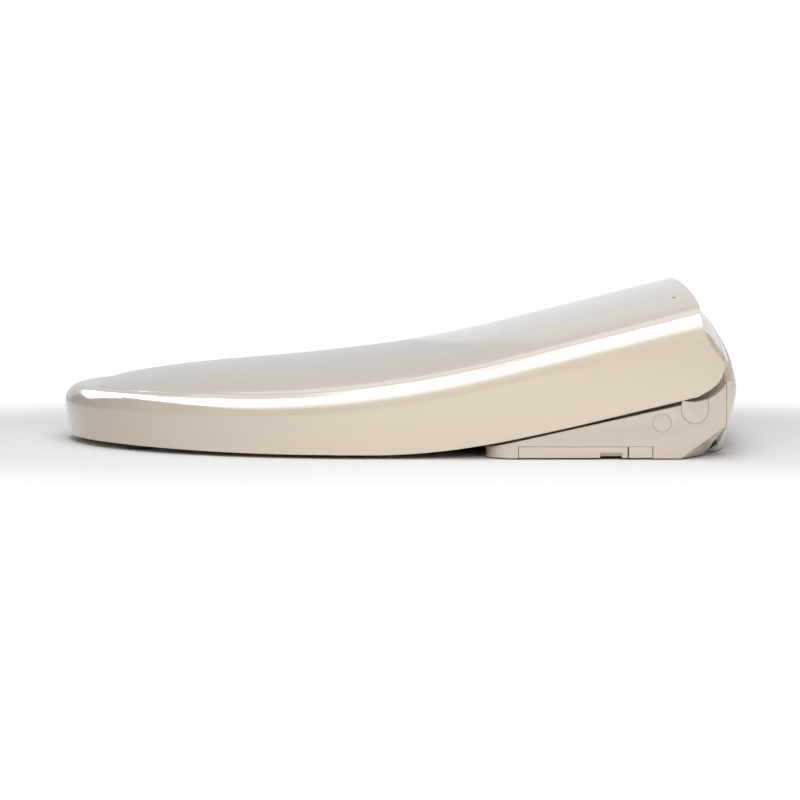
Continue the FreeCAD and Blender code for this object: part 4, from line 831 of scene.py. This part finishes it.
@dataclass(frozen=True)
class Softbox:
    """A rectangular light.

    Fields: its name, where it hangs, the point it faces, its width and height, its brightness (1 is a white
    wall in full light), and whether it only shows in reflections and lights nothing.
    """

    name: str
    place: tuple[float, float, float]
    aim: tuple[float, float, float]
    size: tuple[float, float]
    glow: float
    only_gloss: bool = True

    def build(self) -> None:
        """Hangs the light."""
        lamp = bpy.data.lights.new(self.name, "AREA")
        lamp.shape, lamp.size, lamp.size_y = "RECTANGLE", *self.size
        lamp.energy = self.glow * math.pi * self.size[0] * self.size[1]
        holder = bpy.data.objects.new(self.name, lamp)
        holder.location = self.place
        facing = Vector(self.aim) - Vector(self.place)
        holder.rotation_euler = facing.to_track_quat("-Z", "Y").to_euler()
        holder.visible_diffuse = not self.only_gloss
        holder.visible_glossy = self.only_gloss
        bpy.context.scene.collection.objects.link(holder)


@dataclass
class Studio:
    """Pale floor, soft lights and the camera."""

    target: Vector = field(default_factory=lambda: Vector((0, -207.6, 28.7)) * MM)
    distance: float = 2.4
    elevation: float = math.radians(4.4)
    lens: float = 137.16
    lights: tuple[Softbox, ...] = (
        Softbox("overhead", (0.2, 0.0, 1.6), (0, -0.2, 0.05), (1.6, 1.2), 0.9, only_gloss=False),
        Softbox("side_fill", (1.0, -0.1, 0.5), (0.15, -0.12, 0.05), (0.6, 0.45), 5.2, only_gloss=False),
        Softbox("far_wall", (-2.2, -0.1, 0.7), (0, -0.1, 0.1), (3.6, 1.4), 0.36),
        Softbox("far_glow", (-2.1, 1.1, 0.7), (0, 0.2, 0.1), (3.0, 1.4), 0.14),
        Softbox("far_top", (-2.0, -0.2, 1.85), (0, -0.2, 0.1), (3.6, 0.95), 0.85),
        Softbox("nose_band", (-1.25, -1.4, 1.0), (0.1, -0.44, 0.04), (1.0, 0.7), 6.0),
    )
    band: tuple[tuple[float, float, float], ...] = (
        (-0.26, 1.4, 8.0), (0.54, 0.2, 6.5), (0.74, 0.2, 5.0), (0.95, 0.22, 3.4), (1.2, 0.28, 2.0),
        (1.52, 0.36, 1.0))
    fade_squeeze: float = 1.4
    fade_limits: tuple[float, float] = (0.36, 0.62)
    room: float = 0.33
    room_colour: tuple[float, float, float] = (0.97, 0.99, 1.0)

    def floor(self) -> None:
        """A wide matt floor just under the feet."""
        mesh = bmesh.new()
        bmesh.ops.create_grid(mesh, x_segments=8, y_segments=8, size=12)
        data = bpy.data.meshes.new("floor")
        mesh.to_mesh(data)
        mesh.free()
        ground = bpy.data.objects.new("floor", data)
        bpy.context.scene.collection.objects.link(ground)
        g = Graph("floor_paper")
        g.feed("Base Color", g.blend(g.noise(3.0, 2.0), (0.93, 0.93, 0.93), (0.95, 0.95, 0.95)))
        g.fix(Roughness=0.9)
        self.fade_far(g)
        data.materials.append(g.material)

    def fade_far(self, g: Graph) -> None:
        """Turns the floor plain white away from the seat, as the camera sees it."""
        shift = {"Location": (0, 0.2, 0), "Scale": (self.fade_squeeze, 1, 1)}
        place = g.node("ShaderNodeMapping", {}, {"Vector": g.place, **shift})
        far = g.node("ShaderNodeVectorMath", {"operation": "LENGTH"}, {0: place}, "Value")
        limits = dict(zip(("From Min", "From Max"), self.fade_limits))
        mask = g.node("ShaderNodeMapRange", {"interpolation_type": "SMOOTHSTEP"}, {"Value": far, **limits})
        seen = g.node("ShaderNodeLightPath", {}, {}, "Is Camera Ray")
        mix = g.node("ShaderNodeMixShader", {}, {"Fac": mask * seen})
        white = g.node("ShaderNodeEmission", {}, {"Color": (1, 1, 1, 1), "Strength": 1.0})
        joiner = mix.socket.node
        g.tree.links.new(g.shader.outputs["BSDF"], joiner.inputs[1])
        g.tree.links.new(white.socket, joiner.inputs[2])
        g.tree.links.new(joiner.outputs[0], g.tree.nodes["Material Output"].inputs["Surface"])

    def sky(self) -> None:
        """A white room to look at, with grey walls to reflect."""
        world = bpy.data.worlds.new("studio")
        world.use_nodes = True
        tree = world.node_tree
        seen, felt = tree.nodes["Background"], tree.nodes.new("ShaderNodeBackground")
        seen.inputs["Color"].default_value, seen.inputs["Strength"].default_value = (1, 1, 1, 1), 1.0
        felt.inputs["Color"].default_value = (*self.room_colour, 1)
        felt.inputs["Strength"].default_value = self.room
        path, mix = tree.nodes.new("ShaderNodeLightPath"), tree.nodes.new("ShaderNodeMixShader")
        tree.links.new(path.outputs["Is Camera Ray"], mix.inputs["Fac"])
        tree.links.new(felt.outputs["Background"], mix.inputs[1])
        tree.links.new(seen.outputs["Background"], mix.inputs[2])
        tree.links.new(mix.outputs["Shader"], tree.nodes["World Output"].inputs["Surface"])
        bpy.context.scene.world = world

    def build(self) -> None:
        """Sets the stage."""
        self.floor()
        self.sky()
        for light in self.lights:
            light.build()
        for number, (x, wide, glow) in enumerate(self.band):
            Softbox(f"band_{number}", (x, -0.45, 1.3), (x, -0.45, 0), (wide, 2.0), glow).build()
        bpy.context.scene.view_settings.view_transform = "Standard"
        lens = bpy.data.cameras.new("camera")
        lens.lens, lens.sensor_width = self.lens, 36
        camera = bpy.data.objects.new("camera", lens)
        back = Vector((math.cos(self.elevation), 0, math.sin(self.elevation)))
        camera.location = self.target + back * self.distance
        camera.rotation_euler = (-back).to_track_quat("-Z", "Y").to_euler()
        bpy.context.scene.collection.objects.link(camera)
        bpy.context.scene.camera = camera


def main() -> None:
    """Builds the looks in order."""
    logging.basicConfig(level=logging.INFO, format="%(name)s: %(message)s")
    dress_frame()
    Mouldings().build()
    Lid().build()
    Studio().build()


if __name__ == "__main__":
    main()
